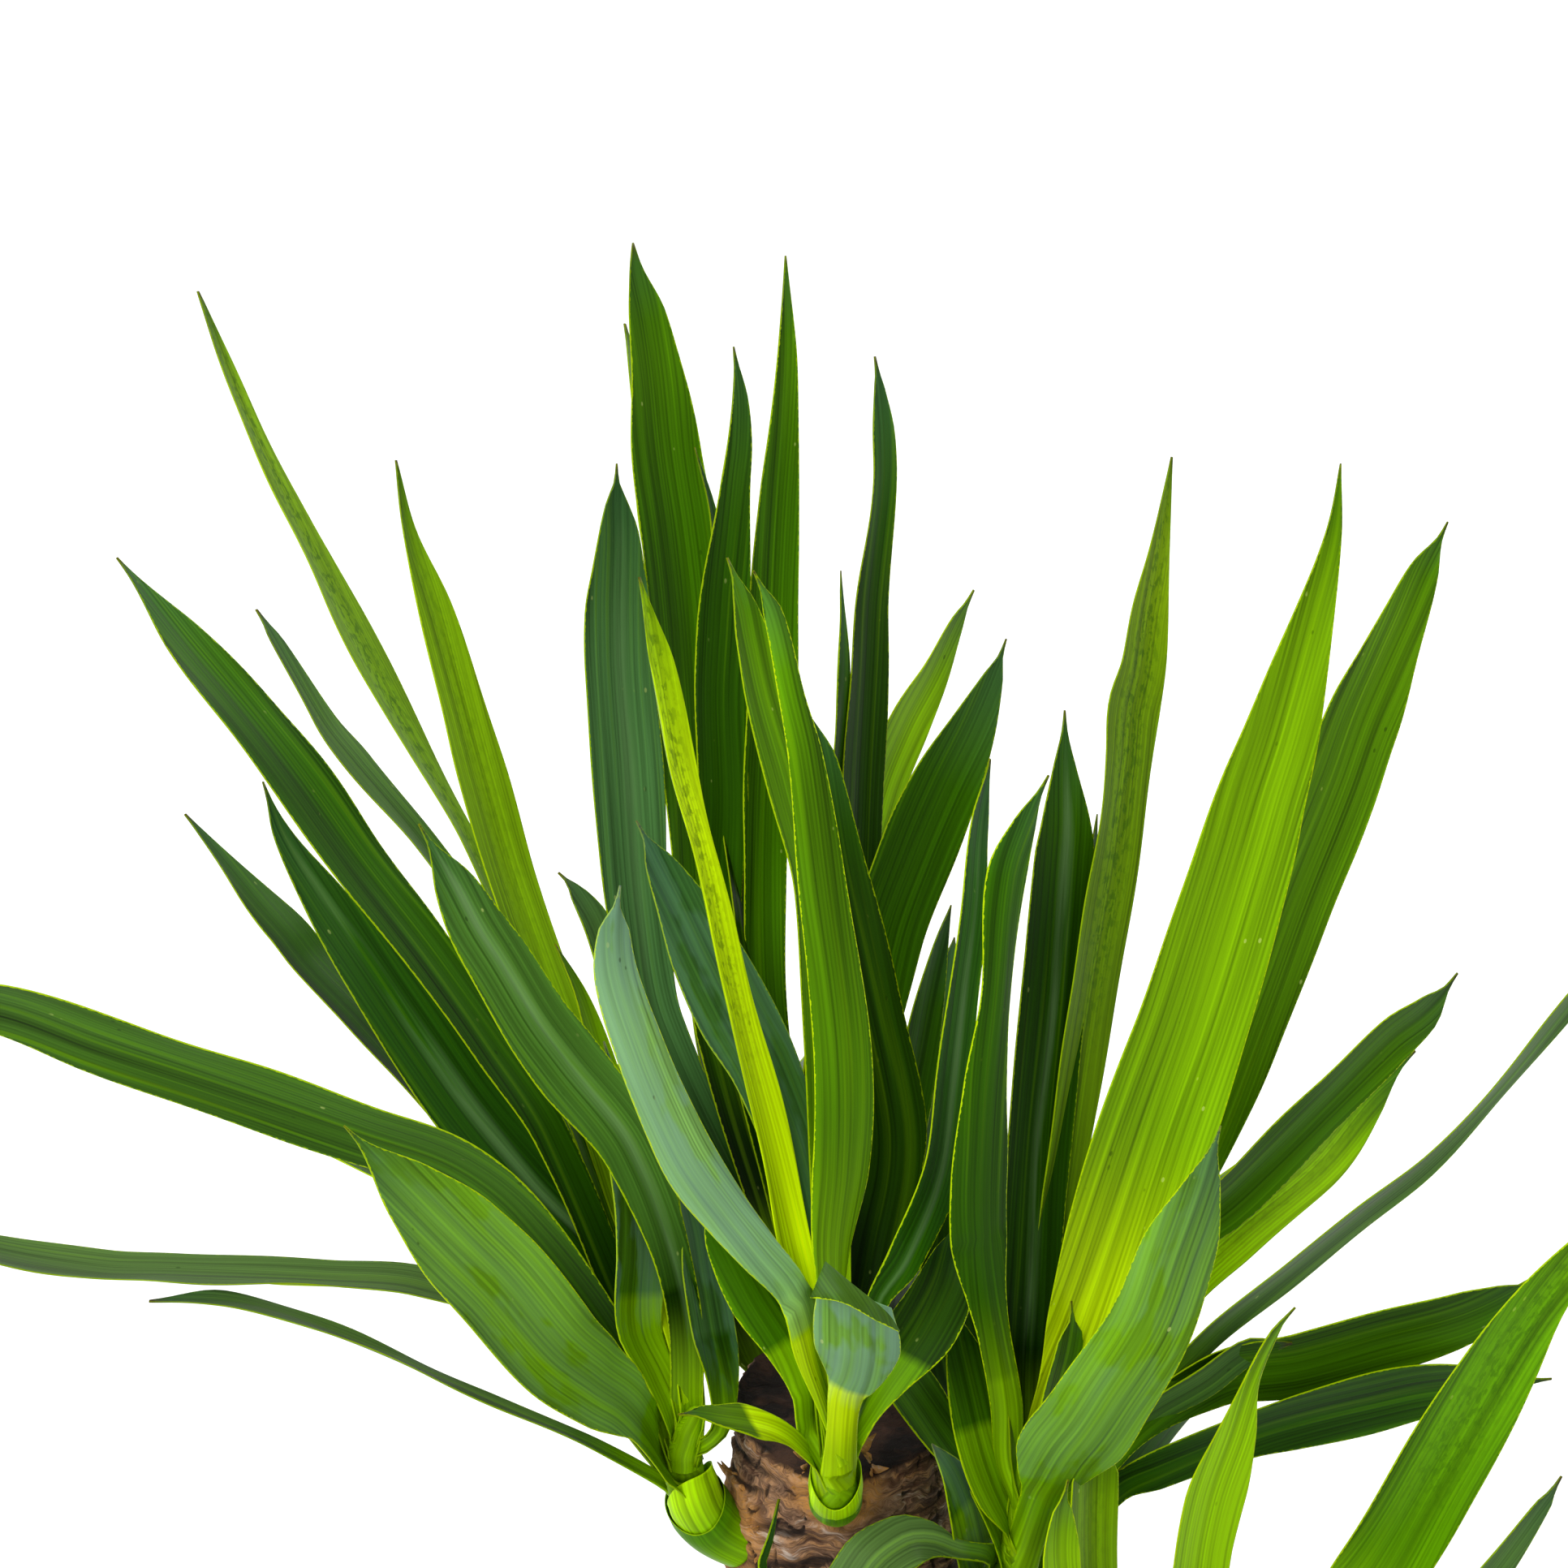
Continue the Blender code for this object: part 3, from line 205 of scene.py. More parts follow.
# Leaves that aren't named here look mid green
LOOK_LEAVES = {
    "mottled": "high_bright",
    "lime": "high_inner tall_sliver behind_front",
    "dark": "long_dark mid_left folded_tip black_right to_the_side rear grass_thin left_side "
            "rear_high rear_flat rear_slant",
    "grey": "grey_slim small_behind long_narrow grey_short outer_tip",
    "black": "black_left",
    "striped": "blue_striped",
    "wide": "wide_left",
    "dull": "flat_left thin_left low_arch",
    "waxy": "glaucous_left glaucous_right",
    "folded": "folded_upright thin_sheath",
    "blue": "twisted_blue dark_blue",
    "bright": "bright_behind broad_bright inner",
    "glaucous": "glaucous_centre",
    "neon": "neon_young",
    "yellowish": "mid_behind striped",
    "fresh": "tall_front rear_low",
    "dark_in_shade": "dark_behind curled_small dark_tall tip_only rear_left rear_inner rear_right",
    "gloss": "glossy_curve",
    "curled": "curled_front",
    "spur": "small_left",
    "leaning": "left_blade leaning_left inner_short",
    "shaded": "broad_right",
    "tall": "tallest centre_tall tip_behind",
    "haze": "bluish_tall",
    "light": "light_right light_upright front_short",
    "soft": "dark_broad grey_low",
    "inner": "inner_left",
    "upright": "dark_upright",
    "olive": "olive",
    "sunlit": "bright_under",
    "level": "flat_right",
    "blotched": "bright_wide",
}
LEAF_LOOKS = {name: look for look, names in LOOK_LEAVES.items() for name in names.split()}


class Leaf(NamedTuple):
    """One leaf. Its points are in mm on the board: right, up, towards the viewer and its width as seen there.

    A leaf without those widths has a plain sword outline, as wide as its full width.
    """

    name: str
    seat: float
    width: float
    roll: float
    points: tuple
    fold: float = LEAF_FOLD


class Shoot(NamedTuple):
    """A leafy shoot on a cane, with the radius and axis of its stem, in mm from the tall cane's cut."""

    name: str
    cane: str
    radius: float
    axis: tuple
    leaves: tuple


LEFT_LEAVES = (
    Leaf("high_bright", 0.80, 22, 65,
         ((-75, 84, -25, 5), (-115, 174, -62, 4.6), (-137, 214, -78, 8.2), (-151, 241, -86, 9.3),
          (-168, 274, -95, 6.2), (-185, 309, -103, 4.7), (-199, 344, -110))),
    Leaf("high_inner", 0.85, 24, 50,
         ((-62, 46, 5, 9), (-102, 163, -31, 14.7), (-111, 194, -38, 15.2), (-118, 219, -44, 13),
          (-126, 247, -50, 9.8), (-134, 271, -54, 4.3), (-138, 292, -58))),
    Leaf("long_dark", 0.60, 27, 48,
         ((-90, 84, 18, 11), (-108, 112, 18, 14), (-127, 139, 18, 15), (-149, 168, 18, 17.3),
          (-169, 196, 17, 17.8), (-184, 215, 16, 16.4), (-203, 237, 15, 11.5), (-224, 262, 12))),
    Leaf("grey_slim", 0.70, 19, 65,
         ((-97, 126, -12, 6), (-128, 173, -25, 7), (-151, 201, -34, 8), (-160, 212, -38, 6.5),
          (-175, 237, -45, 3.4), (-181, 246, -48))),
    Leaf("mid_left", 0.50, 25, 60,
         ((-105, 71, -5, 10), (-147, 120, -20, 12.3), (-164, 138, -26, 12), (-171, 147, -28, 11.4),
          (-181, 158, -31, 9), (-203, 183, -38))),
    Leaf("black_left", 0.45, 28, 35,
         ((-72, 41, 8, 13), (-97, 70, 6, 19), (-115, 92, 4, 23), (-130, 113, 2, 22), (-145, 135, 0, 19),
          (-161, 158, -4, 12.5), (-173, 177, -6, 6), (-179, 193, -8))),
    Leaf("blue_striped", 0.77, 27, 30,
         ((-50, 34, 25, 11), (-65, 79, 35, 18), (-86, 107, 42, 23), (-95, 119, 45, 22),
          (-106, 137, 48, 20), (-113, 148, 50, 17.5), (-120, 161, 52, 12.8), (-131, 180, 55))),
    Leaf("wide_left", 0.35, 27, -45,
         ((-70, 21, 20, 10), (-100, 59, 44, 15.5), (-120, 74, 54, 17.5), (-148, 84, 62, 18.7),
          (-168, 91, 67, 19.2), (-200, 102, 75, 18.8), (-230, 112, 83, 18.3), (-260, 123, 90, 15.5),
          (-300, 130, 92))),
    Leaf("flat_left", 0.30, 24, 68,
         ((-85, 21, 5, 7), (-130, 39, 0, 9), (-160, 41.5, -4, 8), (-208, 43.5, -12, 9.2),
          (-229, 44, -15, 9), (-260, 49, -20, 8.8), (-305, 61, -28))),
    Leaf("thin_left", 0.10, 18, 72,
         ((-75, -12, 8, 4), (-105, 1, 10, 2.8), (-140, 17, 10, 3.2), (-172, 29.5, 9, 4),
          (-192, 34, 7, 4.6), (-214, 33, 5))),
    Leaf("glaucous_left", 0.07, 33, 15,
         ((-53, -15, 14, 12), (-62, -3, 34, 13), (-67, 2.5, 42, 20), (-75, 8, 54, 27), (-88, 18, 72, 31),
          (-105, 38, 95, 32.4), (-117, 50, 108, 31), (-134, 67, 122, 19), (-154, 87, 135))),
    Leaf("folded_upright", 0.75, 22, 40,
         ((-57, 11, 20, 10), (-63, 25, 22, 13.8), (-62, 48, 24, 16), (-62, 64, 24, 17.3),
          (-65, 79, 23, 15.5), (-69, 95, 22, 8), (-74, 113, 20))),
    Leaf("twisted_blue", 0.64, 20, 50,
         ((-44, -12, 20, 4), (-38, -6, 22, 6), (-37.5, 9, 22, 10), (-40, 24, 21, 13),
          (-43, 41, 20, 12.8), (-46, 56, 18, 8.8), (-53, 77, 14))),
    Leaf("small_behind", 0.92, 18, 50,
         ((-52, 59, 0, 8), (-67, 121, -12, 10), (-76, 149, -17, 8.7), (-83, 160, -19, 3.9),
          (-88, 165, -20))),
    Leaf("bright_behind", 0.90, 14, 50, ((-60, 59, 8), (-74, 106, 5), (-81, 127, 2), (-89, 143, 0))),
    Leaf("rear_high", 0.67, 28, 65, ((-85, 80, -40), (-140, 160, -100), (-175, 205, -130))),
    Leaf("rear_mid", 0.47, 28, 65, ((-90, 66, -45), (-120, 100, -90), (-150, 145, -130))),
    Leaf("rear_low", 0.27, 28, 65, ((-100, 50, -30), (-190, 97, -90), (-240, 112, -120))),
    Leaf("rear_flat", 0.20, 26, 75, ((-100, 30, -40), (-180, 42, -110), (-240, 46, -150))),
)

FRONT_LEAVES = (
    Leaf("glaucous_centre", 0.50, 22, 215,
         ((-10, 12, 62, 8.8), (-15, 34, 69, 10.6), (-27, 49, 75, 13.8), (-36, 60, 79, 15.5),
          (-47, 75, 86, 17.5), (-55, 91, 91, 17), (-62, 108, 96, 15.7), (-70, 133, 100, 13.4),
          (-71, 147, 101, 9.5), (-69, 161, 102))),
    Leaf("dark_blue", 0.70, 28, 30,
         ((-7, 39, 56, 12), (-14, 76, 56, 18), (-24, 104, 54, 21.5), (-33, 121, 52, 24),
          (-42, 139, 50, 22), (-50, 155, 48, 16), (-57, 168, 46, 9), (-64, 181, 44))),
    Leaf("neon_young", 0.90, 20, 60,
         ((-14, 46, 62, 10), (-24, 95, 66, 9.7), (-34, 134, 67, 7.8), (-43, 172, 68, 6.3),
          (-50, 201, 67, 8.5), (-56, 230, 66, 6.6), (-60, 245, 65, 3), (-63, 256, 64)), 0.45),
    Leaf("mid_behind", 0.85, 20, 45,
         ((-5, 84, 50, 12), (-9, 159, 44, 13), (-16, 191, 40, 14), (-24, 219, 36, 13),
          (-28, 236, 34, 10.5), (-31, 249, 32, 6), (-36, 262, 30))),
    Leaf("tall_front", 0.80, 19, 200,
         ((-4, 46, 66, 12), (-1, 74, 70, 17.2), (0, 95, 74, 18), (-1, 117, 76, 17.8),
          (-6.5, 159, 78, 14.7), (-12, 201, 79, 11), (-16, 219, 80, 8.2), (-22, 245, 81, 6),
          (-28, 258, 82))),
    Leaf("dark_behind", 0.67, 25, 30,
         ((5, 29, 46, 10), (9, 50, 43, 15), (14, 73, 39, 20), (14, 90, 36, 22), (7, 124, 32, 22),
          (-2, 164, 27, 19), (-8, 199, 23, 12), (-14, 221, 20))),
    Leaf("glossy_curve", 0.60, 20, 55,
         ((10, 32, 54, 7), (19, 46, 51, 11), (30, 72, 45, 11.8), (34, 100, 40, 11.6), (37, 128, 34, 9.2),
          (40, 154, 26, 7.2), (42, 180, 16, 5.7), (45, 200, 8))),
    Leaf("curled_front", 0.35, 29, 190,
         ((-1.3, -14, 57, 10), (-0.5, -4, 68, 9.5), (0.5, 4, 78, 11), (2.5, 9, 85, 17),
          (3.6, 14, 92, 23.5), (4, 19, 99, 27), (4, 24, 104, 27), (4, 30, 110, 25), (4, 36, 115, 20))),
    Leaf("small_left", 0.15, 16, 50,
         ((-15, -10, 60, 4.5), (-21, -6, 68, 6.5), (-29, -3.5, 77, 9.4), (-37, -2.5, 85, 7),
          (-45, -1.6, 92, 3.4), (-51, -2, 97))),
    Leaf("left_blade", 0.40, 17, 200,
         ((-11, -8, 53, 6), (-12.5, 5, 56, 8), (-18, 18, 58, 12), (-28, 34, 60, 15.5), (-37, 52, 62, 12),
          (-44, 71, 62))),
    Leaf("broad_right", 0.30, 23, 150,
         ((6, -4, 51, 7), (13, 8, 49, 13), (24, 24, 41, 21), (31, 38, 31, 18), (34, 50, 26, 11),
          (36, 61, 20))),
)

BACK_LEAVES = (
    Leaf("tallest", 0.50, 29, 35,
         ((-39, 121, -70, 15), (-46, 216, -85, 23), (-48, 244, -87, 24), (-51, 271, -89, 23.3),
          (-54.5, 294, -90, 21.5), (-57.5, 319, -90, 15.8), (-60.5, 337, -90, 11.5), (-64, 351, -90, 4),
          (-65, 359, -90))),
    Leaf("tall_sliver", 0.30, 20, 68,
         ((-40, 109, -85, 7), (-55, 247, -122, 8), (-59, 273, -128, 7.6), (-63, 312, -134, 5),
          (-67.5, 334, -140))),
    Leaf("bluish_tall", 0.40, 27, 35,
         ((-57, 118, -62, 15), (-63, 150, -64, 19), (-67, 201, -66, 22), (-69, 227, -66, 21.5),
          (-69.5, 245, -66, 20), (-69.5, 259, -65, 16), (-69.5, 270, -64, 12.3), (-70, 279, -63, 6.7),
          (-70, 291, -62))),
    Leaf("curled_small", 0.80, 12, 55,
         ((-35, 184, -60), (-37, 244, -66), (-40, 274, -68), (-46, 296, -68))),
    Leaf("folded_tip", 0.70, 21, 35,
         ((-37, 146, -52, 12), (-37, 189, -53, 15), (-38, 219, -54, 16.5), (-37, 240, -55, 16),
          (-36, 256, -55, 14.4), (-33.5, 284, -56, 9.2), (-32, 298, -57, 7.2), (-32, 312, -57, 4.5),
          (-34, 327, -58))),
    Leaf("centre_tall", 0.77, 19, 35,
         ((-24, 134, -55, 12), (-22, 229, -67, 15.5), (-21, 259, -71, 14.5), (-20, 279, -74, 12.4),
          (-18.5, 301, -77, 9.2), (-17.5, 322, -80, 6.2), (-17.5, 334, -82, 4.2), (-18, 355, -84))),
    Leaf("dark_tall", 0.60, 20, 50,
         ((2, 121, -50, 11), (6.5, 201, -56, 13), (8, 229, -58, 11.4), (9, 250, -59, 9.5),
          (12.5, 285, -62, 7.2), (12.5, 300, -63, 6.5), (11, 314, -64, 3.2), (9.5, 324, -64))),
    Leaf("tip_only", 0.90, 12, 60, ((-5, 159, -44), (0, 221, -48), (-1, 258, -50))),
    Leaf("light_right", 0.47, 21, 50,
         ((-10, 71, -50, 10), (1, 146, -66, 12), (12, 190, -78, 13.5), (20, 210, -84, 12.3),
          (28, 226, -92, 8.6), (35, 242, -98, 4.3), (40, 252, -102))),
    Leaf("dark_broad", 0.27, 27, 30,
         ((1, 84, -48, 15), (13, 144, -52, 22.5), (23, 172, -55, 23.5), (31, 191, -57, 21),
          (40, 210, -59, 14.5), (46, 225, -61, 6.5), (50, 237, -62))),
    Leaf("grey_low", 0.20, 20, 50, ((12, 62, -38), (20, 90, -38), (29, 139, -45), (33, 155, -48))),
    Leaf("rear_upright", 0.57, 28, 65, ((-40, 120, -110), (-48, 200, -170), (-50, 240, -200))),
    Leaf("rear_slant", 0.37, 28, 65, ((-30, 80, -110), (-35, 130, -180), (-30, 170, -230))),
    Leaf("rear_flat", 0.17, 28, 65, ((-20, 60, -110), (-15, 90, -190), (-10, 110, -250))),
    Leaf("rear_left", 0.33, 28, 30,
         ((-25, 12, -40), (-33, 26, -48), (-52, 62, -95), (-74, 100, -160), (-88, 124, -200))),
    Leaf("rear_right", 0.24, 28, 35, ((16, 22, -28), (22, 50, -60), (29, 100, -135), (34, 145, -190))),
)

RIGHT_LEAVES = (
    Leaf("inner_left", 0.80, 24, 225,
         ((51, -17, 24, 8.5), (50, 1, 32, 10), (46.5, 21, 41, 10.2), (44, 34, 45, 12.3),
          (41.5, 53, 50, 17.2), (41.5, 72, 53, 17.4), (43.5, 99, 56, 12.7), (46.5, 126, 58, 9.6),
          (50, 164, 58, 11.5), (55.5, 180, 57, 7), (63, 195, 56))),
    Leaf("dark_upright", 0.90, 26, 40,
         ((56, 15, 30, 12), (58, 46, 27, 18), (60.3, 84, 24, 20), (64, 119, 20, 20), (66, 143, 17, 20),
          (68, 169, 14, 18.5), (68.5, 179, 13, 15.5), (68, 197, 10, 7.2), (68, 215, 8))),
    Leaf("tip_behind", 0.85, 18, 60, ((65, 71, 15), (73, 134, 5), (78, 183, -5))),
    Leaf("olive", 0.77, 24, 50,
         ((62, 34, 22, 10), (70, 84, 16, 12.3), (78, 134, 10, 14.5), (84, 170, 4, 13.5),
          (88, 200, 0, 14.6), (89.5, 215, -2, 15.8), (92, 227, -5, 13.6), (94, 243, -8, 11.6),
          (97, 262, -12, 7), (101, 293, -18))),
    Leaf("broad_bright", 0.70, 38, 20,
         ((66, 2, 28, 15), (75, 24, 31, 26), (86, 55, 35, 34), (96, 85, 38, 36), (108, 119, 38, 34),
          (123, 168, 38, 30.5), (129, 189, 37, 27), (135, 208, 36, 23.5), (145, 245, 34, 12),
          (151, 270, 32, 5), (153, 291, 30))),
    Leaf("striped", 0.60, 30, 38,
         ((77, 24, 12, 12), (109, 80, -5, 19), (126, 122, -17, 22.5), (139, 157, -27, 24),
          (153, 192, -38, 24), (160, 212, -44, 22.8), (167, 229, -49, 18.5), (173, 243, -54, 14.5),
          (179, 258, -58, 9), (186, 273, -62))),
    Leaf("mid_right", 0.50, 24, 52,
         ((74, 9, 22, 9), (102, 51, 16, 14), (117, 62, 13, 15), (131, 75, 10, 15), (150, 94, 5, 14.3),
          (169, 113, 0, 13), (180, 122, -4, 9), (189, 134, -8))),
    Leaf("bright_under", 0.45, 27, 48,
         ((72, -1, 20, 10), (106, 41, 6, 17), (121, 55, 1, 18), (145, 75, -8, 17), (162, 96, -16, 12),
          (176, 110, -22))),
    Leaf("long_narrow", 0.40, 23, 70,
         ((80, -7, 20, 7), (102.5, 11.5, 16, 6.4), (117, 25, 14, 6.6), (139, 42, 11, 7),
          (159, 58, 8, 6.4), (180, 75, 5, 5.4), (204, 100, 2, 4.6), (222, 122, 0, 4.8), (247, 154, -6))),
    Leaf("flat_right", 0.30, 27, 43,
         ((84, -12, 14, 10), (115, 9, 8, 16), (140, 13, 2, 19.5), (165, 20, -4, 19), (190, 27, -10, 16),
          (204, 34, -12, 8), (213, 41, -14))),
    Leaf("grey_short", 0.35, 15, 55,
         ((89, -7, 14, 7), (112, 8, 12, 8.5), (124, 17, 10, 8), (132, 19, 9, 4), (138, 20, 8))),
    Leaf("black_right", 0.15, 26, 45,
         ((84, -25, 8, 8.5), (97, -19, 7, 12), (126, -8, 2, 13.5), (140, -4, -2, 16), (162, 1, -8, 18.5),
          (180, 5, -12, 16.3), (200, 7, -18, 10.5), (218, 9, -22))),
    Leaf("glaucous_right", 0.47, 30, 195,
         ((60.5, -27, 38, 12), (63.5, -21, 45, 20), (67.5, -14, 54, 28), (74, -6, 66, 30),
          (80, 3, 77, 29), (94, 25, 96, 26), (103, 49, 110, 23.5), (110, 68, 121, 12), (116, 87, 132))),
    Leaf("small_dark", 0.87, 14, 50, ((61, -16, 30, 7), (66, 4, 34, 9), (70, 21, 35, 8), (70, 33, 36))),
    Leaf("leaning_left", 0.37, 24, 50,
         ((41, -23, 22, 7), (32, -10, 22, 12.5), (22, 5, 20, 15), (12, 18, 14, 13), (2, 31, 8))),
    Leaf("thin_sheath", 0.10, 20, 45, ((39, -34, 26), (34, -21, 32), (27, -11, 36))),
    Leaf("inner_short", 0.57, 24, 40, ((45, -14, 28), (39, 9, 28), (33, 31, 26))),
    Leaf("low_arch", 0.00, 24, 35,
         ((45, -46, 24, 5), (35, -43, 32, 6), (27, -40, 36, 11), (19, -40.5, 40, 17), (8, -49, 44, 21),
          (-8, -80, 44, 20), (-27, -116, 36))),
    Leaf("rear_inner", 0.50, 28, 30,
         ((44, -5, 6), (38, 10, -4), (35, 28, -14), (34, 58, -24), (34, 90, -34))),
    Leaf("rear_high", 0.67, 28, 65, ((90, 80, -20), (120, 165, -70), (138, 230, -95))),
    Leaf("rear_mid", 0.63, 28, 65, ((110, 100, -50), (140, 165, -100), (155, 200, -125))),
    Leaf("rear_low", 0.43, 28, 65, ((95, 42, -30), (140, 84, -90), (160, 104, -120))),
    Leaf("rear_flat", 0.20, 28, 65, ((105, 3, -30), (150, 18, -90), (190, 28, -120))),
)

LOW_RIGHT_LEAVES = (
    Leaf("light_upright", 0.80, 25, 45,
         ((108, -79, 22, 13), (110, -49, 32, 17.3), (114, -29, 37, 17.3), (121, -8, 41, 12),
          (126, 9, 43, 4.8), (133, 24, 45, 2.2), (139, 31, 46))),
    Leaf("bright_wide", 0.60, 34, 38,
         ((140, -84, 22, 16), (166, -49, 32, 26), (184, -19, 38, 26.7), (203, 14, 40, 22),
          (216, 34, 42, 15), (245, 71, 42))),
    Leaf("outer_tip", 0.30, 20, 55,
         ((158, -95, 32, 9), (180, -76, 42, 11), (202, -49, 50, 8.8), (216, -29, 54, 4),
          (221, -21, 56))),
    Leaf("to_the_front", 0.20, 28, 170, ((150, -90, 70), (200, -75, 120), (245, -110, 160))),
    Leaf("to_the_side", 0.40, 28, 40, ((170, -100, 20), (235, -75, 20), (300, -95, 10))),
    Leaf("drooping", 0.00, 26, 20, ((165, -115, 40), (225, -115, 70), (270, -160, 90))),
    Leaf("rear_side", 0.27, 28, 40, ((150, -85, -20), (190, -62, -80), (230, -70, -130))),
    Leaf("rear", 0.50, 26, 30, ((128, -75, -45), (122, -62, -100), (110, -66, -160))),
    Leaf("inner", 0.95, 16, 50, ((131, -82, 20), (136, -66, 22), (139, -56, 22))),
)

LOW_LEFT_LEAVES = (
    Leaf("behind_front", 0.70, 24, 50,
         ((80, -81, 30, 12), (77, -49, 35, 15.4), (77, -21, 40, 14), (78, -5, 40))),
    Leaf("front_short", 0.90, 18, 45,
         ((72, -79, 50, 9), (67, -49, 62, 12), (67, -33, 66, 6.7), (69, -22, 68))),
    Leaf("grass_thin", 0.20, 5, 60,
         ((30, -105, 50, 2.2), (-15, -90, 60, 2.4), (-25, -49, 62, 2.1), (-23, -41, 62, 1.8),
          (-20, -28, 62))),
    Leaf("to_the_front", 0.30, 28, 180, ((60, -100, 90), (40, -95, 160), (15, -130, 230))),
    Leaf("front_left", 0.40, 28, 170, ((40, -100, 70), (-20, -85, 130), (-80, -120, 180))),
    Leaf("left_side", 0.10, 26, 20, ((30, -118, 60), (-60, -112, 90), (-130, -145, 110))),
    Leaf("drooping", 0.00, 26, 15, ((35, -135, 60), (-30, -150, 110), (-70, -200, 130))),
    Leaf("front_right", 0.60, 26, 190, ((95, -95, 90), (125, -90, 150), (150, -125, 210))),
    Leaf("inner", 0.95, 16, 50, ((76, -92, 45), (84, -70, 60), (90, -58, 70))),
)

# The curled front leaf's folded tip: its fold and its free edge on the board
FLAP_FOLD = ((-5.8, 45.3, 121), (1.8, 39, 121), (13.3, 29.5, 116), (17.3, 23.8, 109))
FLAP_EDGE = ((-10.5, 34, 122), (-0.8, 32.5, 124), (10, 26.8, 118.5), (17, 23.4, 110))
FLAP_BULGE = 1.6 * MM
FOLD_SLANT = 0.83
SLANT_START = 0.4

# Each part of a shoot has its own number, which shifts the pattern on it
ORDERS = 50
FIRST_SLEEVE = 40
FLAP_ORDER = 49

SHOOTS = (
    Shoot("shoot_left", "tall", 9.5,
          ((-22, -8, -47), (-40, -14, -33), (-47, -17, -19), (-49, -18, -4), (-45, -18, 12)), LEFT_LEAVES),
    Shoot("shoot_front", "tall", 8.4,
          ((-3, -22, -18), (-3, -43, -5), (-3, -50, 9), (-3, -51, 28)), FRONT_LEAVES),
    Shoot("shoot_back", "tall", 9.5,
          ((-6, 20, -29), (-10, 44, -21), (-12, 50, -8), (-12, 52, 8), (-12, 53, 25)), BACK_LEAVES),
    Shoot("shoot_right", "tall", 10.0,
          ((18, -10, -72), (40, -23, -64), (50, -29, -54), (53, -30, -40), (56, -30, -5)), RIGHT_LEAVES),
    Shoot("shoot_low_right", "short", 8.5,
          ((111, -47, -129), (130, -55, -114), (138, -58, -99), (140, -58, -78)), LOW_RIGHT_LEAVES),
    Shoot("shoot_low_left", "short", 8.5,
          ((90, -52, -123), (75, -67, -117), (70, -72, -105), (72, -72, -84)), LOW_LEFT_LEAVES),
)


# Geometry helpers

def linear(colour):
    """Screen values of 0 to 255 as linear light."""
    shares = np.asarray(colour, float) / 255
    return np.where(shares <= 0.04045, shares / 12.92, ((shares + 0.055) / 1.055) ** 2.4)


def upward(height):
    return Vector((0.0, 0.0, height))


def between(first, second, part):
    return first * (1 - part) + second * part


def cut_centre():
    return Vector((TALL_PLACE.x, TALL_PLACE.y, TALL_TOP))


def view_axes():
    """Unit vectors to the viewer's right, up on the board and towards the viewer."""
    right = Vector((1.0, 0.0, 0.0))
    up = Vector((0.0, math.sin(VIEW_RISE), math.cos(VIEW_RISE)))
    near = Vector((0.0, -math.cos(VIEW_RISE), math.sin(VIEW_RISE)))
    return right, up, near


def viewer():
    right, up, near = view_axes()
    centre = cut_centre() + (right * VIEW_CENTRE[0] + up * VIEW_CENTRE[1]) * MM
    return centre + near * VIEW_DISTANCE


def on_board(point):
    """World place of a board point, brought nearer along the viewer's line of sight."""
    right, up, near = view_axes()
    flat = cut_centre() + (right * point[0] + up * point[1]) * MM
    return flat.lerp(viewer(), point[2] * MM / VIEW_DISTANCE)


def smooth_step(share):
    share = min(max(share, 0.0), 1.0)
    return share * share * (3 - 2 * share)


def chord_lengths(points):
    """Distance along the points from the first to each."""
    lengths = [0.0]
    for start, end in zip(points, points[1:]):
        lengths.append(lengths[-1] + (end - start).length)
    return lengths


def path_length(points):
    return chord_lengths(points)[-1]


def between_slopes(start, end, leaving, arriving, along):
    """Smooth value between two ends that have these slopes, scaled to the stretch."""
    square = along * along
    cube = square * along
    return (
        start * (2 * cube - 3 * square + 1)
        + leaving * (cube - 2 * square + along)
        + end * (3 * square - 2 * cube)
        + arriving * (cube - square)
    )


def curve_point(points, share):
    """A point on the smooth curve through the points, by share of its chord length."""
    lengths = chord_lengths(points)
    want = share * lengths[-1]
    leg = 0
    while leg < len(points) - 2 and lengths[leg + 1] < want:
        leg += 1
    span = lengths[leg + 1] - lengths[leg]
    along = (want - lengths[leg]) / span
    start, end = points[leg], points[leg + 1]
    slopes = []
    for place in (leg, leg + 1):
        before = max(place - 1, 0)
        after = min(place + 1, len(points) - 1)
        slopes.append((points[after] - points[before]) / (lengths[after] - lengths[before]) * span)
    return between_slopes(start, end, *slopes, along)


def curve_way(points, share):
    ahead = curve_point(points, min(share + TANGENT_STEP, 1.0))
    behind = curve_point(points, max(share - TANGENT_STEP, 0.0))
    return (ahead - behind).normalized()


def shoot_axis(shoot):
    return [cut_centre() + Vector(point) * MM for point in shoot.axis]


def tube_faces(sides, steps, closed=True):
    """Faces of a tube made ring by ring, with its first end shut, and its last one where closed."""
    faces = [tuple(range(sides - 1, -1, -1))]
    for step in range(steps):
        low = step * sides
        high = low + sides
        for side in range(sides):
            after = (side + 1) % sides
            faces.append((low + side, low + after, high + after, high + side))
    if closed:
        faces.append(tuple(range(steps * sides, steps * sides + sides)))
    return faces


def object_from(name, vertices, faces, smooth=True):
    mesh = bpy.data.meshes.new(name)
    mesh.from_pydata([tuple(v) for v in vertices], [], faces)
    mesh.update()
    if smooth:
        mesh.shade_smooth()
    made = bpy.data.objects.new(name, mesh)
    bpy.context.scene.collection.objects.link(made)
    return made


def set_vectors(mesh, name, values):
    layer = mesh.attributes.new(name, "FLOAT_VECTOR", "POINT")
    layer.data.foreach_set("vector", np.asarray(values, np.float32).ravel())


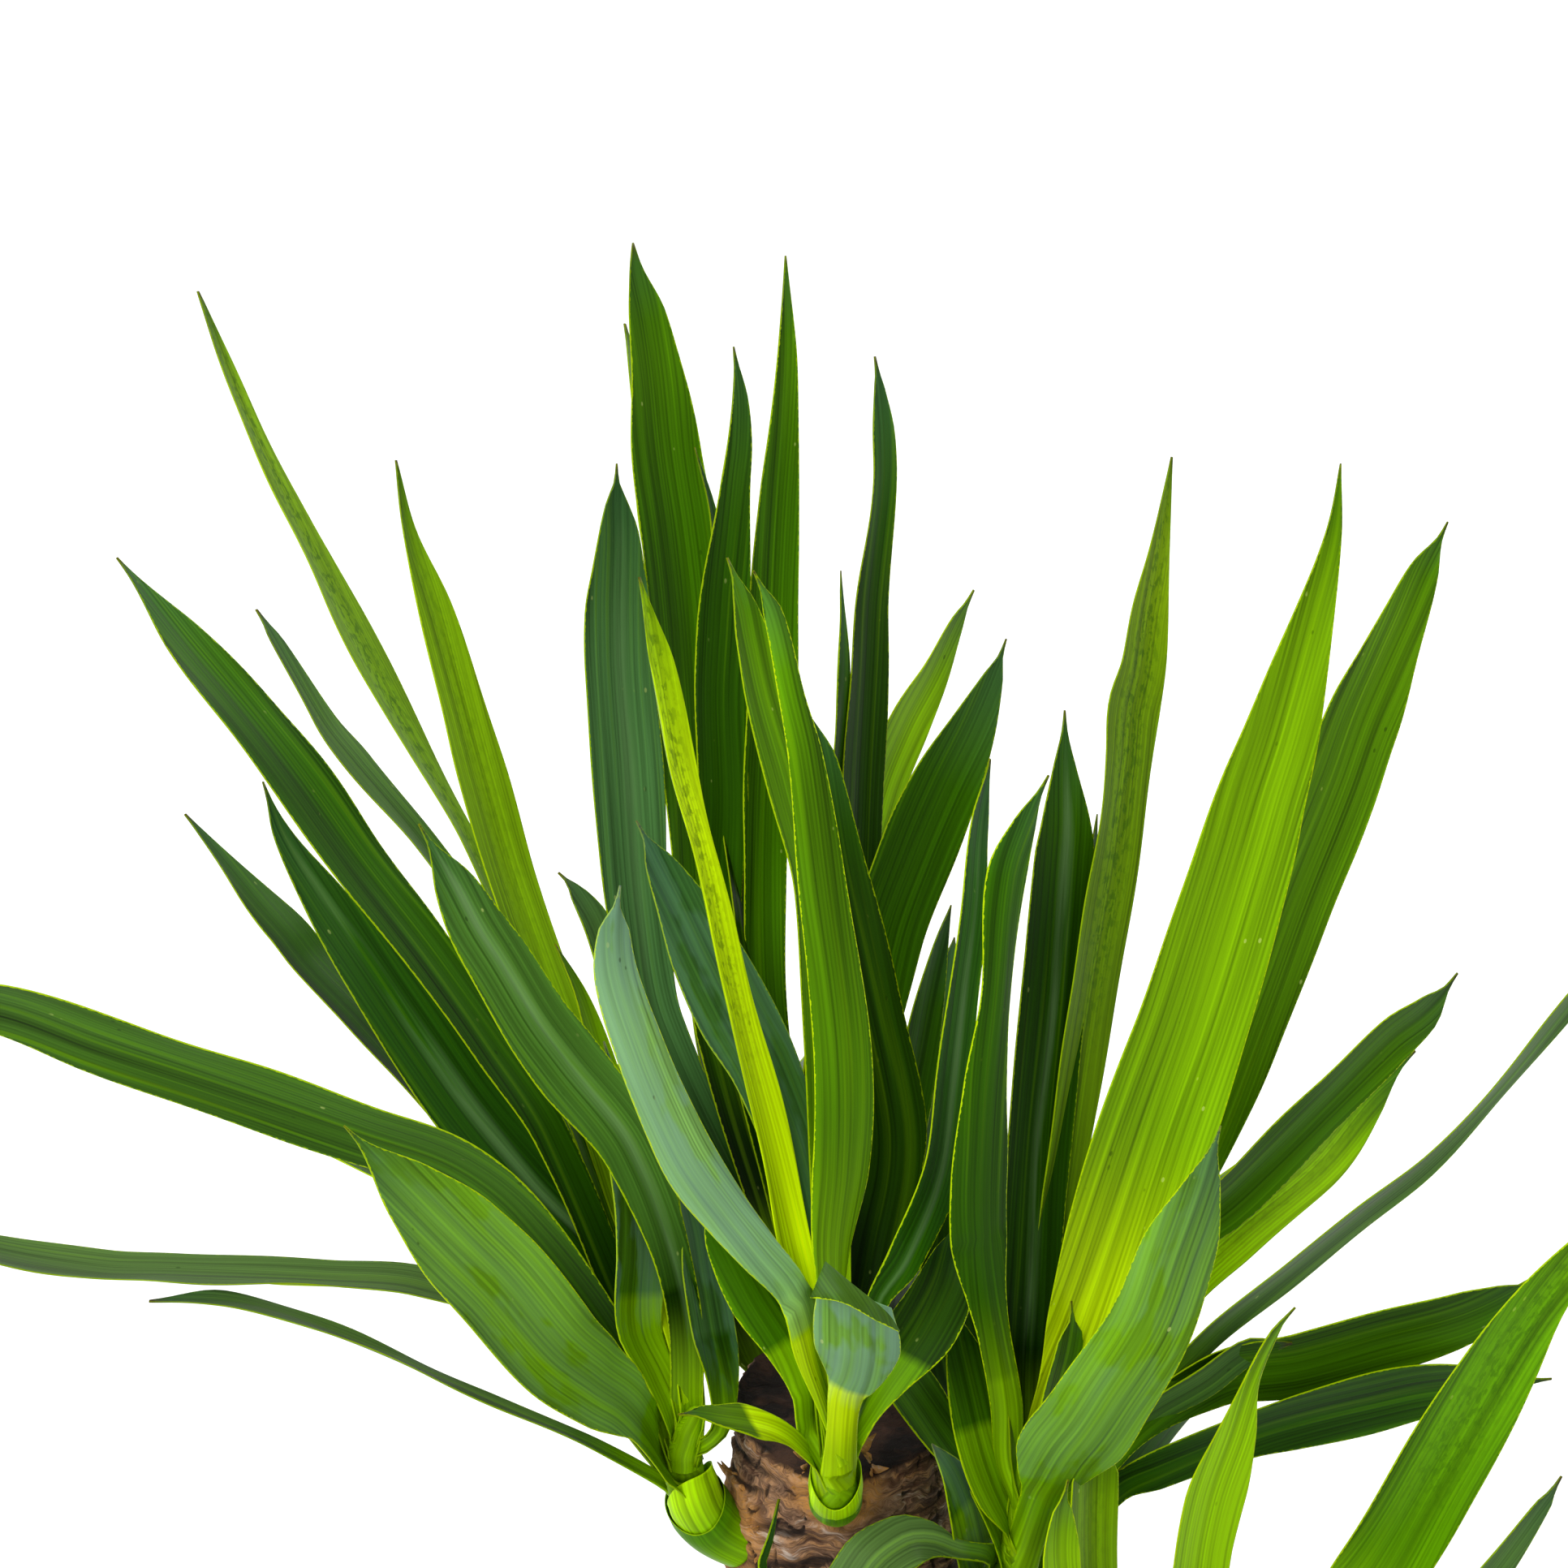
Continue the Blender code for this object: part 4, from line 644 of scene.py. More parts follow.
def set_colours(mesh, name, values):
    layer = mesh.attributes.new(name, "FLOAT_COLOR", "POINT")
    layer.data.foreach_set("color", np.asarray(values, np.float32).ravel())


# Node helpers

def add(tree, kind, inputs=None, **settings):
    made = tree.nodes.new(kind)
    for key, value in settings.items():
        setattr(made, key, value)
    for key, value in (inputs or {}).items():
        socket = made.inputs[key]
        if isinstance(value, bpy.types.NodeSocket):
            tree.links.new(value, socket)
        else:
            socket.default_value = value
    return made


def maths(tree, operation, first, second=0.0, third=0.0):
    return add(tree, "ShaderNodeMath", {0: first, 1: second, 2: third}, operation=operation).outputs[0]


def times(tree, first, second):
    return maths(tree, "MULTIPLY", first, second)


def plus(tree, first, second):
    return maths(tree, "ADD", first, second)


def stretched(tree, vector, scale):
    made = add(tree, "ShaderNodeVectorMath", {0: vector, 1: scale}, operation="MULTIPLY")
    return made.outputs[0]


def grain(tree, vector, scale, detail=3.0, roughness=0.55, distortion=0.0):
    """Noise at one scale, or at one for each axis."""
    if isinstance(scale, tuple):
        vector, scale = stretched(tree, vector, scale), 1.0
    inputs = {"Vector": vector, "Scale": scale, "Detail": detail, "Roughness": roughness,
              "Distortion": distortion}
    return add(tree, "ShaderNodeTexNoise", inputs).outputs["Fac"]


def span(tree, value, low, high, start=0.0, end=1.0):
    inputs = {"Value": value, "From Min": low, "From Max": high, "To Min": start, "To Max": end}
    return add(tree, "ShaderNodeMapRange", inputs, clamp=True).outputs["Result"]


def mix(tree, share, first, second):
    """Two colours mixed by a share; each is a socket or screen values of 0 to 255."""
    first, second = ((*linear(c), 1.0) if isinstance(c, tuple) else c for c in (first, second))
    inputs = {0: share, 6: first, 7: second}
    return add(tree, "ShaderNodeMix", inputs, data_type="RGBA", clamp_factor=True).outputs[2]


def attribute(tree, name):
    return add(tree, "ShaderNodeAttribute", attribute_name=name).outputs["Vector"]


def object_place(tree):
    return add(tree, "ShaderNodeTexCoord").outputs["Object"]


def new_material(name, roughness=0.5):
    material = bpy.data.materials.new(name)
    material.use_nodes = True
    tree = material.node_tree
    shader = tree.nodes["Principled BSDF"]
    shader.inputs["Roughness"].default_value = roughness
    return material, tree, shader


def bump(tree, shader, height, distance, strength=1.0):
    made = add(tree, "ShaderNodeBump", {"Height": height, "Distance": distance, "Strength": strength})
    tree.links.new(made.outputs["Normal"], shader.inputs["Normal"])


# Materials

def leaf_material():
    """Leaf skin: fine lengthwise lines, bands, wax bloom, blotches, a pale toothed edge and specks, with a
    painted sheen of pale streaks down the middle and painted shade across the fold.
    """
    material, tree, shader = new_material("leaf_skin", 0.42)
    paint = add(tree, "ShaderNodeAttribute", attribute_name="tint")
    place = attribute(tree, "place")
    form = attribute(tree, "form")
    marks = attribute(tree, "marks")
    side, rim, stripe = add(tree, "ShaderNodeSeparateXYZ", {0: form}).outputs
    bloom, mottle, bands = add(tree, "ShaderNodeSeparateXYZ", {0: marks}).outputs

    lines = grain(tree, place, (1000.0, 9.0, 40.0), 2.0)
    ribs = grain(tree, place, (380.0, 5.0, 40.0), 2.0)
    wide = grain(tree, place, (120.0, 3.5, 40.0), 1.0)
    patches = grain(tree, place, (75.0, 26.0, 40.0), 3.0)
    streaks = grain(tree, place, (240.0, 12.0, 40.0), 3.0)

    across = add(tree, "ShaderNodeSeparateXYZ", {0: place}).outputs[0]
    phase = maths(tree, "MULTIPLY_ADD", across, VEIN_PITCH, times(tree, wide, 9.0))
    veins = times(tree, maths(tree, "SINE", phase), 0.09)
    light = plus(tree, span(tree, lines, 0.34, 0.66, 0.8, 1.26), span(tree, ribs, 0.34, 0.66, -0.2, 0.24))
    # Painted shade across the fold: the side term makes one half of the blade lighter and the other darker.
    light = plus(tree, light, maths(tree, "MULTIPLY_ADD", side, 0.13, veins))
    dark = times(tree, bands, span(tree, wide, 0.5, 0.62, 0.0, 0.36))
    light = maths(tree, "SUBTRACT", light, dark)
    colour = add(tree, "ShaderNodeVectorMath", {0: paint.outputs["Color"], "Scale": light}, operation="SCALE")
    colour = colour.outputs[0]
    pale = times(tree, bands, span(tree, ribs, 0.56, 0.76, 0.0, 0.28))
    colour = mix(tree, pale, colour, (128, 172, 30))

    # Painted sheen: pale greyish streaks near the middle of the blade stand in for light reflected off the
    # leaf.
    middle = span(tree, maths(tree, "ABSOLUTE", maths(tree, "SUBTRACT", side, 0.12)), 0.04, 0.3, 1.0, 0.0)
    middle = times(tree, middle, stripe)
    middle = times(tree, middle, span(tree, streaks, 0.35, 0.6))
    colour = mix(tree, times(tree, middle, 0.5), colour, (128, 158, 112))

    wax = times(tree, bloom, span(tree, patches, 0.4, 0.46))
    wax = times(tree, wax, span(tree, streaks, 0.3, 0.62, 0.25, 1.0))
    colour = mix(tree, times(tree, wax, 0.55), colour, (128, 164, 152))

    spots = grain(tree, place, (520.0, 260.0, 40.0), 3.0, 0.6)
    inner = span(tree, maths(tree, "ABSOLUTE", side), 0.25, 0.75, 1.0, 0.15)
    blot = times(tree, times(tree, mottle, inner), span(tree, spots, 0.5, 0.58))
    colour = mix(tree, times(tree, blot, 0.6), colour, (44, 84, 12))

    dots = add(tree, "ShaderNodeTexVoronoi", {"Vector": stretched(tree, place, (190.0, 110.0, 40.0)),
                                             "Scale": 1.0, "Randomness": 1.0})
    few = span(tree, grain(tree, place, 45.0, 2.0), 0.52, 0.6)
    speck = times(tree, span(tree, dots.outputs["Distance"], 0.07, 0.11, 1.0, 0.0), few)
    tone = mix(tree, span(tree, patches, 0.48, 0.52), (190, 205, 130), (24, 40, 14))
    colour = mix(tree, times(tree, speck, 0.5), colour, tone)

    teeth = grain(tree, place, (60.0, 700.0, 40.0), 2.0)
    reach = span(tree, teeth, 0.35, 0.65, 0.06, 0.44)
    edge = span(tree, maths(tree, "SUBTRACT", rim, reach), -0.08, 0.1, 1.0, 0.0)
    edge = times(tree, edge, paint.outputs["Alpha"])
    colour = mix(tree, edge, colour, (178, 206, 62))
    depth = maths(tree, "MULTIPLY_ADD", bloom, -0.1, 1.14)
    rich = add(tree, "ShaderNodeHueSaturation", {"Saturation": depth, "Value": 1.03, "Color": colour})
    tree.links.new(rich.outputs["Color"], shader.inputs["Base Color"])

    rough = span(tree, lines, 0.3, 0.7, 0.32, 0.48)
    rough = plus(tree, rough, times(tree, wax, 0.15))
    tree.links.new(rough, shader.inputs["Roughness"])
    shader.inputs["Specular IOR Level"].default_value = 0.06
    height = plus(tree, times(tree, lines, 0.5), times(tree, ribs, 1.2))
    bump(tree, shader, height, 0.16 * MM, 0.7)
    return material


def bark_material():
    """Fibrous brown bark with pale scuffs, torn tan fibres round the shoots, painted shade in its cracks and
    a dark sawn cut.
    """
    material, tree, shader = new_material("cane_bark", 0.9)
    place = object_place(tree)
    marks = attribute(tree, "marks")
    torn, cut, relief = add(tree, "ShaderNodeSeparateXYZ", {0: marks}).outputs
    swirl = grain(tree, place, 34.0, 3.0, 0.6)
    tilt = add(tree, "ShaderNodeCombineXYZ", {"Z": times(tree, swirl, 0.035)}).outputs[0]
    bent = add(tree, "ShaderNodeVectorMath", {0: place, 1: tilt}, operation="ADD").outputs[0]
    layers = grain(tree, bent, (70.0, 70.0, 420.0), 5.0, 0.65, 0.3)
    coarse = grain(tree, bent, (55.0, 55.0, 150.0), 4.0, 0.6, 0.4)
    fine = grain(tree, bent, (420.0, 420.0, 2200.0), 3.0, 0.6)
    colour = mix(tree, span(tree, layers, 0.36, 0.58), (70, 46, 32), (176, 136, 104))
    colour = mix(tree, span(tree, coarse, 0.48, 0.62, 0.0, 0.7), colour, (100, 66, 44))
    tan = times(tree, span(tree, layers, 0.5, 0.56), span(tree, coarse, 0.46, 0.56))
    colour = mix(tree, times(tree, tan, 0.6), colour, (196, 142, 86))
    colour = mix(tree, span(tree, fine, 0.44, 0.64, 0.0, 0.6), colour, (58, 37, 26))
    scuff = times(tree, span(tree, layers, 0.5, 0.58), span(tree, coarse, 0.46, 0.38))
    colour = mix(tree, times(tree, scuff, 0.7), colour, (204, 188, 174))
    fibres = times(tree, torn, span(tree, fine, 0.36, 0.6, 0.25, 1.0))
    colour = mix(tree, times(tree, fibres, 0.85), colour, (200, 140, 70))
    # Painted shade: the colour goes near-black where the bark's relief sinks, in its cracks and under its
    # layers.
    colour = mix(tree, span(tree, relief, -1.0, -0.3, 0.9, 0.0), colour, (20, 12, 9))
    sawn = mix(tree, span(tree, coarse, 0.4, 0.62), (24, 16, 12), (66, 44, 32))
    colour = mix(tree, cut, colour, sawn)
    tree.links.new(colour, shader.inputs["Base Color"])
    shader.inputs["Specular IOR Level"].default_value = 0.25
    height = plus(tree, times(tree, layers, 2.0), times(tree, fine, 0.5))
    bump(tree, shader, height, 1.0 * MM, 0.9)
    return material


def soil_material(name, light, dark):
    material, tree, shader = new_material(name, 0.95)
    place = object_place(tree)
    lumps = grain(tree, place, 180.0, 4.0, 0.65)
    fine = grain(tree, place, 900.0, 3.0, 0.6)
    colour = mix(tree, span(tree, lumps, 0.35, 0.65), dark, light)
    colour = mix(tree, span(tree, fine, 0.62, 0.72, 0.0, 0.5), colour, (120, 92, 66))
    tree.links.new(colour, shader.inputs["Base Color"])
    bump(tree, shader, plus(tree, lumps, times(tree, fine, 0.5)), 1.2 * MM, 0.9)
    return material


def pot_material():
    """Moulded plastic with a fine grain, faint turning lines and a little dust."""
    material, tree, shader = new_material("pot_moulded", 0.55)
    place = object_place(tree)
    grainy = grain(tree, place, 1600.0, 3.0, 0.6)
    rings = grain(tree, place, (4.0, 4.0, 420.0), 2.0)
    dust = grain(tree, place, 26.0, 5.0, 0.65)
    colour = mix(tree, span(tree, dust, 0.45, 0.75, 0.0, 0.45), (58, 57, 56), (96, 92, 86))
    tree.links.new(colour, shader.inputs["Base Color"])
    tree.links.new(span(tree, dust, 0.3, 0.7, 0.46, 0.66), shader.inputs["Roughness"])
    height = plus(tree, grainy, times(tree, rings, 0.8))
    bump(tree, shader, height, 0.08 * MM, 0.7)
    return material


# Leaves

def plain_width(leaf, share):
    """The width of a plain sword outline: a fleshy neck, a broad middle and a tapered tip."""
    full = leaf.width * MM
    if share < NECK_END:
        return full * (ROOT_SHARE + (NECK_SHARE - ROOT_SHARE) * share / NECK_END)
    if share < WIDEST:
        grown = smooth_step((share - NECK_END) / (WIDEST - NECK_END))
        return full * (NECK_SHARE + (1 - NECK_SHARE) * grown)
    left = (share - WIDEST) / (1 - WIDEST)
    return max(full * (1 - left**TIP_FULLNESS), TIP_WIDTH)


def width_stops(leaf, points):
    """Shares of the leaf's length with its widths there as the viewer sees them, in metres.

    A leaf whose last point has a width too ends bluntly, at a fold.
    """
    lengths = chord_lengths(points)
    total = lengths[-1]
    stops = [(0.0, 0.9 * leaf.points[0][3] * MM)]
    for point, reach in zip(leaf.points[:-1], lengths[2:]):
        stops.append((reach / total, point[3] * MM * (1 - point[2] * MM / VIEW_DISTANCE)))
    if len(leaf.points[-1]) > 3:
        return stops + [(1.0, leaf.points[-1][3] * MM)]
    spine = 1 - SPINE_LENGTH / total
    last = stops[-1]
    if spine > last[0] + 0.01:
        stops.append((spine, min(SPINE_WIDTH, 0.45 * last[1])))
    stops.append((1.0, TIP_WIDTH))
    return stops


def through_stops(stops, share):
    """A smooth value at a share that doesn't overshoot its stops."""
    slopes = [0.0] * len(stops)
    steps = [(b[1] - a[1]) / (b[0] - a[0]) for a, b in zip(stops, stops[1:])]
    for place in range(1, len(stops) - 1):
        before, after = steps[place - 1], steps[place]
        if before * after > 0:
            slopes[place] = 2 * before * after / (before + after)
    slopes[-1] = steps[-1]
    place = 0
    while place < len(stops) - 2 and stops[place + 1][0] < share:
        place += 1
    reach = stops[place + 1][0] - stops[place][0]
    along = (share - stops[place][0]) / reach
    return between_slopes(
        stops[place][1], stops[place + 1][1], slopes[place] * reach, slopes[place + 1] * reach, along)


def leaf_width(leaf, stops, share, turn):
    """The blade's true width: as the viewer sees it, opened out by its turn, or a plain outline."""
    if not stops:
        return plain_width(leaf, share)
    seen = through_stops(stops, share)
    most = leaf.width * MM * (0.5 + 0.62 * smooth_step(share / WIDEST))
    return max(min(seen / max(abs(math.cos(turn)), 0.1), most), TIP_WIDTH)


def leaf_turn(leaf, share, side, facing, upright):
    """The angle of the upper face round the leaf: up the stem at the neck, then as the leaf's roll says."""
    first = math.atan2(upright.dot(side), upright.dot(facing))
    last = math.radians(leaf.roll)
    change = (last - first + math.pi) % (2 * math.pi) - math.pi
    change = min(max(change, -MOST_TWIST), MOST_TWIST)
    return last - change * (1 - smooth_step(share / TURN_END))


def leaf_colour(look, share, distance, left):
    """Colour along a leaf: bright sheath, base, middle, then the tip with its dry brown spine. A near-black
    base is painted shade deep in the crown.
    """
    shade = TIP_SHADE * smooth_step(1 - left / TIP_LENGTH)
    tip = between(linear(look.tip), linear(TIP_COLOUR), shade)
    dry = smooth_step(1 - left / SPINE_LENGTH)
    if dry > 0:
        return between(tip, linear(SPINE_COLOUR), dry)
    sheath = SHEATH_TINT * (1 - smooth_step((distance - SHEATH_LENGTH * 0.6) / (SHEATH_LENGTH * 1.7)))
    if sheath > 0:
        return between(linear(look.base), linear(SHEATH_COLOUR), sheath)
    # The base colour holds near the stem; in the inner leaves' looks it is near-black, painted shade.
    stops = ((0.0, look.base), (0.4 * look.reach, look.base), (look.reach, look.middle),
             (TIP_START, look.middle))
    for (low, first), (high, second) in zip(stops, stops[1:]):
        if share <= high:
            part = smooth_step((share - low) / (high - low))
            return between(linear(first), linear(second), part)
    part = smooth_step((share - TIP_START) / TIP_REACH)
    return between(linear(look.middle), tip, part)


def build_leaf(leaf, shoot, order):
    """Vertices, faces and attributes of one finely drawn leaf."""
    draw = random.Random(f"{shoot.name} {leaf.name}")
    axis = shoot_axis(shoot)
    root = curve_point(axis[1:], leaf.seat)
    stem = (axis[-1] - axis[1]).normalized()
    low_seat = leaf.seat - SHEATH_DROP / path_length(axis[1:])
    start = curve_point(axis[1:], low_seat) if low_seat > 0 else root - stem * SHEATH_DROP * 0.6
    points = [start, root + stem * ROOT_STRETCH] + [on_board(point) for point in leaf.points]
    eye = viewer()
    length = path_length(points)
    rows = min(max(round(length / ROW_LENGTH), FEWEST_ROWS), MOST_ROWS)
    look = LOOKS[LEAF_LOOKS.get(leaf.name, "mid")]
    blunt = len(leaf.points[-1]) > 3
    stops = width_stops(leaf, points) if len(leaf.points[0]) > 3 else ()
    stem_radius = (shoot.radius * MM - STEM_INSET) * (1 - STEM_TAPER * leaf.seat)
    stem_radius += SHEATH_GAP + SHEATH_LAYERS * (1 - leaf.seat)
    phase = [draw.uniform(0, 6.28) for _ in range(6)]
    pitch = [draw.uniform(0.05, 0.09) for _ in range(4)]
    vertices, place_of, form_of, marks_of, tints = [], [], [], [], []
    for row in range(rows + 1):
        share = row / rows
        distance = share * length
        centre = curve_point(points, share)
        along = curve_way(points, share)
        side = along.cross(eye - centre).normalized()
        facing = side.cross(along).normalized()
        upright = (stem - along * stem.dot(along)).normalized()
        turn = leaf_turn(leaf, share, side, facing, upright)
        normal = facing * math.cos(turn) + side * math.sin(turn)
        across = along.cross(normal).normalized()
        free = smooth_step(distance / SHEATH_LENGTH)
        neck = 1 - smooth_step(share / (2 * NECK_END))
        fold = leaf.fold + (NECK_FOLD - leaf.fold) * neck
        half = (leaf_width(leaf, stops, share, turn) / 2) * free + stem_radius * (1 - free)
        wrap = 2 * math.atan(fold) * free + SHEATH_WRAP * (1 - free)
        radius = half / math.sin(min(wrap, math.pi / 2))
        sag = radius * (1 - math.cos(wrap))
        drop = -sag * free - stem_radius * (1 - free)
        thick = BLADE_THICKNESS + (NECK_THICKNESS - BLADE_THICKNESS) * neck * free
        strip = 1 - min(0.3, EDGE_STRIP / max(half, 0.1 * MM))
        us = [(-strip if i < 6 else strip) if u is None else u for i, u in enumerate(COLUMNS)]
        blade = smooth_step(share / BLADE_START) * smooth_step((1 - share) / BLADE_END)
        skew = FOLD_SLANT * smooth_step((share - SLANT_START) / (1 - SLANT_START)) if blunt else 0.0
        ripple = LEAF_WAVE * blade
        left, right = (
            ripple * math.sin(WAVE_TURN * distance / pitch[i] + phase[i])
            * math.sin(phase[i + 1] + distance / pitch[i + 1])
            for i in (0, 2)
        )
        left_over = 1.0 if blunt else length - distance
        colour = (*leaf_colour(look, share, distance, left_over), look.edge * (0.35 + 0.65 * blade))
        bloom = look.bloom * smooth_step((share / look.reach - 0.5) / 0.8)
        mottle = look.mottle * smooth_step((share - 0.38) / 0.2)
        rows_top, rows_low = [], []
        for u in us:
            angle = u * wrap
            flat = radius * math.sin(angle)
            rise = radius * (1 - math.cos(angle))
            crease = BLADE_CREASE * free
            rise = rise * (1 - crease) + sag * abs(u) * crease
            wave = (left if u < 0 else right) * u * u
            thin = thick * (1 - u * u) + min(EDGE_THICKNESS, thick) * u * u
            thin = min(thin, max(half, 0.2 * MM))
            surface = centre + across * flat + normal * (rise + drop + wave) + along * (flat * skew)
            lean = (normal * math.cos(angle * EDGE_LEAN) - across * math.sin(angle * EDGE_LEAN)).normalized()
            rows_top.append(surface + lean * thin / 2)
            rows_low.append(surface - lean * thin / 2)
        ring = rows_top + rows_low[::-1]
        vertices += ring
        for u in us + us[::-1]:
            place_of.append((u * half, distance, order))
            form_of.append((u, (1 - abs(u)) * half / MM, look.stripe * blade))
            marks_of.append((bloom, mottle, look.bands))
            tints.append(colour)
    return vertices, tube_faces(2 * len(COLUMNS), rows), place_of, form_of, marks_of, tints


def board_curve(points, share):
    """A point on a smooth curve through board points, in the world."""
    return curve_point([on_board(point) for point in points], share)


def build_flap(order):
    """The tip of the curled front leaf, folded down over its blade."""
    look = LOOKS["flap"]
    columns, rows = 22, 9
    eye = viewer()
    vertices, place_of, form_of, marks_of, tints = [], [], [], [], []
    for thick in (0.4, -0.4):
        for column in range(columns + 1):
            share = column / columns
            fold = board_curve(FLAP_FOLD, share)
            free = board_curve(FLAP_EDGE, share)
            for row in range(rows + 1):
                down = row / rows
                spot = fold.lerp(free, down)
                near = (eye - spot).normalized()
                bulge = FLAP_BULGE * math.sin(math.pi * down) * math.sin(math.pi * min(share * 1.4, 1.0))
                vertices.append(spot + near * (bulge + thick * MM * (1 - 0.5 * down)))
                across = (free - fold).length
                place_of.append((down * across - share * 12 * MM, share * 30 * MM, order))
                form_of.append((0.3, (1 - down) * across / MM, 0.0))
                marks_of.append((0.1, 0.0, look.bands))
                tints.append((*linear(look.middle), look.edge))
    stride = rows + 1
    sheet = stride * (columns + 1)
    faces = []
    for column in range(columns):
        for row in range(rows):
            low = column * stride + row
            faces.append((low, low + 1, low + stride + 1, low + stride))
            back = low + sheet
            faces.append((back + stride, back + stride + 1, back + 1, back))
    rim = list(range(stride))
    rim += [column * stride + rows for column in range(1, columns + 1)]
    rim += [columns * stride + row for row in range(rows - 1, -1, -1)]
    rim += [column * stride for column in range(columns - 1, 0, -1)]
    for place, corner in enumerate(rim):
        after = rim[(place + 1) % len(rim)]
        faces.append((corner, corner + sheet, after + sheet, after))
    return vertices, faces, place_of, form_of, marks_of, tints


def build_stem(shoot, order):
    """The stem under the sheaths, fine and round, from inside the bark to its tip."""
    axis = shoot_axis(shoot)
    sides, steps = 28, 40
    full = path_length(axis)
    peg_share = (axis[1] - axis[0]).length / full
    across = (axis[1] - axis[0]).orthogonal().normalized()
    vertices, place_of, form_of, marks_of, tints = [], [], [], [], []
    for step in range(steps + 1):
        share = step / steps
        centre = curve_point(axis, share)
        way = curve_way(axis, share)
        across = (across - way * across.dot(way)).normalized()
        beside = way.cross(across)
        out = max(0.0, (share - peg_share) / (1 - peg_share))
        swell = 1 + 0.06 * math.sin(out * 40)
        radius = (shoot.radius * MM - STEM_INSET) * (1 - STEM_TAPER * out) * swell
        radius *= math.sqrt(max(1 - out**12, 0.02))
        for corner in range(sides):
            angle = 2 * math.pi * corner / sides
            spoke = across * math.cos(angle) + beside * math.sin(angle)
            vertices.append(centre + spoke * radius)
            place_of.append((angle * radius, share * full, order))
            form_of.append((0.0, 5.0, 0.0))
            marks_of.append((0.0, 0.0, 0.3))
            tints.append((*linear(SHEATH_COLOUR), 0.0))
    return vertices, tube_faces(sides, steps), place_of, form_of, marks_of, tints


def build_sleeve(shoot, order, start, height, notch, turn, girth, flare):
    """A smooth old sheath round a stem: a cup with a notched lip, its notch turned from the outer side."""
    axis = shoot_axis(shoot)
    full = path_length(axis)
    right, up, near = view_axes()
    wide = shoot.radius * MM + girth * MM
    outer = order % ORDERS == FIRST_SLEEVE
    low_colour, high_colour = OUTER_SLEEVE if outer else INNER_SLEEVE
    drop = upward(-1.0)
    vertices, place_of, form_of, marks_of, tints = [], [], [], [], []
    for inner in (False, True):
        for side in range(SLEEVE_SIDES):
            angle = 2 * math.pi * side / SLEEVE_SIDES
            away = (0.5 + 0.5 * math.cos(angle - math.radians(turn)))**1.6
            end = (height - notch * away) * MM
            across = drop
            for step in range(SLEEVE_STEPS + 1):
                rise = step / SLEEVE_STEPS
                distance = start * MM + (end - start * MM) * rise
                share = distance / full
                way = curve_way(axis, share)
                across = (across - way * across.dot(way)).normalized()
                beside = way.cross(across)
                spoke = across * math.cos(angle) + beside * math.sin(angle)
                open_out = smooth_step((distance / MM - start) / (height - start))
                lip = SLEEVE_LIP * smooth_step((rise - 0.75) / 0.25)
                reach = wide * (1 + flare * open_out - 0.04 * (1 - open_out)) - lip
                reach += 0.25 * MM * noise.noise(Vector((angle, distance * 90, order)))
                thin = SLEEVE_WALL * (1 - 0.6 * rise)
                spot = curve_point(axis, share) + spoke * (reach - (thin if inner else 0.0))
                vertices.append(spot)
                place_of.append((angle * wide, distance, order))
                form_of.append((0.5, (1 - rise) * (end - start * MM) / MM, 0.0))
                marks_of.append((0.0, 0.0, 0.3))
                share_up = smooth_step(rise * 1.15 - 0.1)
                tint = between(linear(low_colour), linear(high_colour), share_up)
                if outer and shoot.name == "shoot_front" and not inner:
                    flat = spot - cut_centre()
                    aside, above = flat.dot(right) / MM, flat.dot(up) / MM
                    off = math.hypot(aside - SCAR_PLACE[0], above - SCAR_PLACE[1])
                    scar = smooth_step(2 - off / SCAR_SIZE) if flat.dot(near) > 0 else 0.0
                    tint = between(tint, linear(SCAR_COLOUR), scar)
                tints.append((*tint, 0.45))
    faces = []
    column = SLEEVE_STEPS + 1
    sheet = column * SLEEVE_SIDES
    for side in range(SLEEVE_SIDES):
        low = side * column
        after = (side + 1) % SLEEVE_SIDES * column
        for step in range(SLEEVE_STEPS):
            faces.append((low + step, after + step, after + step + 1, low + step + 1))
            back, next_back = sheet + low + step, sheet + after + step
            faces.append((back + 1, next_back + 1, next_back, back))
        end, next_end = low + SLEEVE_STEPS, after + SLEEVE_STEPS
        faces.append((end, next_end, sheet + next_end, sheet + end))
        faces.append((after, low, sheet + low, sheet + after))
    return vertices, faces, place_of, form_of, marks_of, tints


def build_shoot(shoot, material, number):
    """All leaves of a shoot and its stem as one piece."""
    parts = [build_stem(shoot, ORDERS * number)]
    for index, sleeve in enumerate(SLEEVES[shoot.name]):
        parts.append(build_sleeve(shoot, ORDERS * number + FIRST_SLEEVE + index, *sleeve))
    for index, leaf in enumerate(shoot.leaves):
        parts.append(build_leaf(leaf, shoot, ORDERS * number + index + 1))
    if shoot.name == "shoot_front":
        parts.append(build_flap(ORDERS * number + FLAP_ORDER))
    vertices, faces, places, forms, marks, tints = [], [], [], [], [], []
    for part in parts:
        offset = len(vertices)
        vertices += part[0]
        faces += [tuple(corner + offset for corner in face) for face in part[1]]
        places += part[2]
        forms += part[3]
        marks += part[4]
        tints += part[5]
    made = object_from("foliage_" + shoot.name[6:], vertices, faces)
    set_vectors(made.data, "place", places)
    set_vectors(made.data, "form", forms)
    set_vectors(made.data, "marks", marks)
    set_colours(made.data, "tint", tints)
    made.data.materials.append(material)
    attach(made, "root")
    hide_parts(shoot.name)
    return made


# Canes, soil and pot

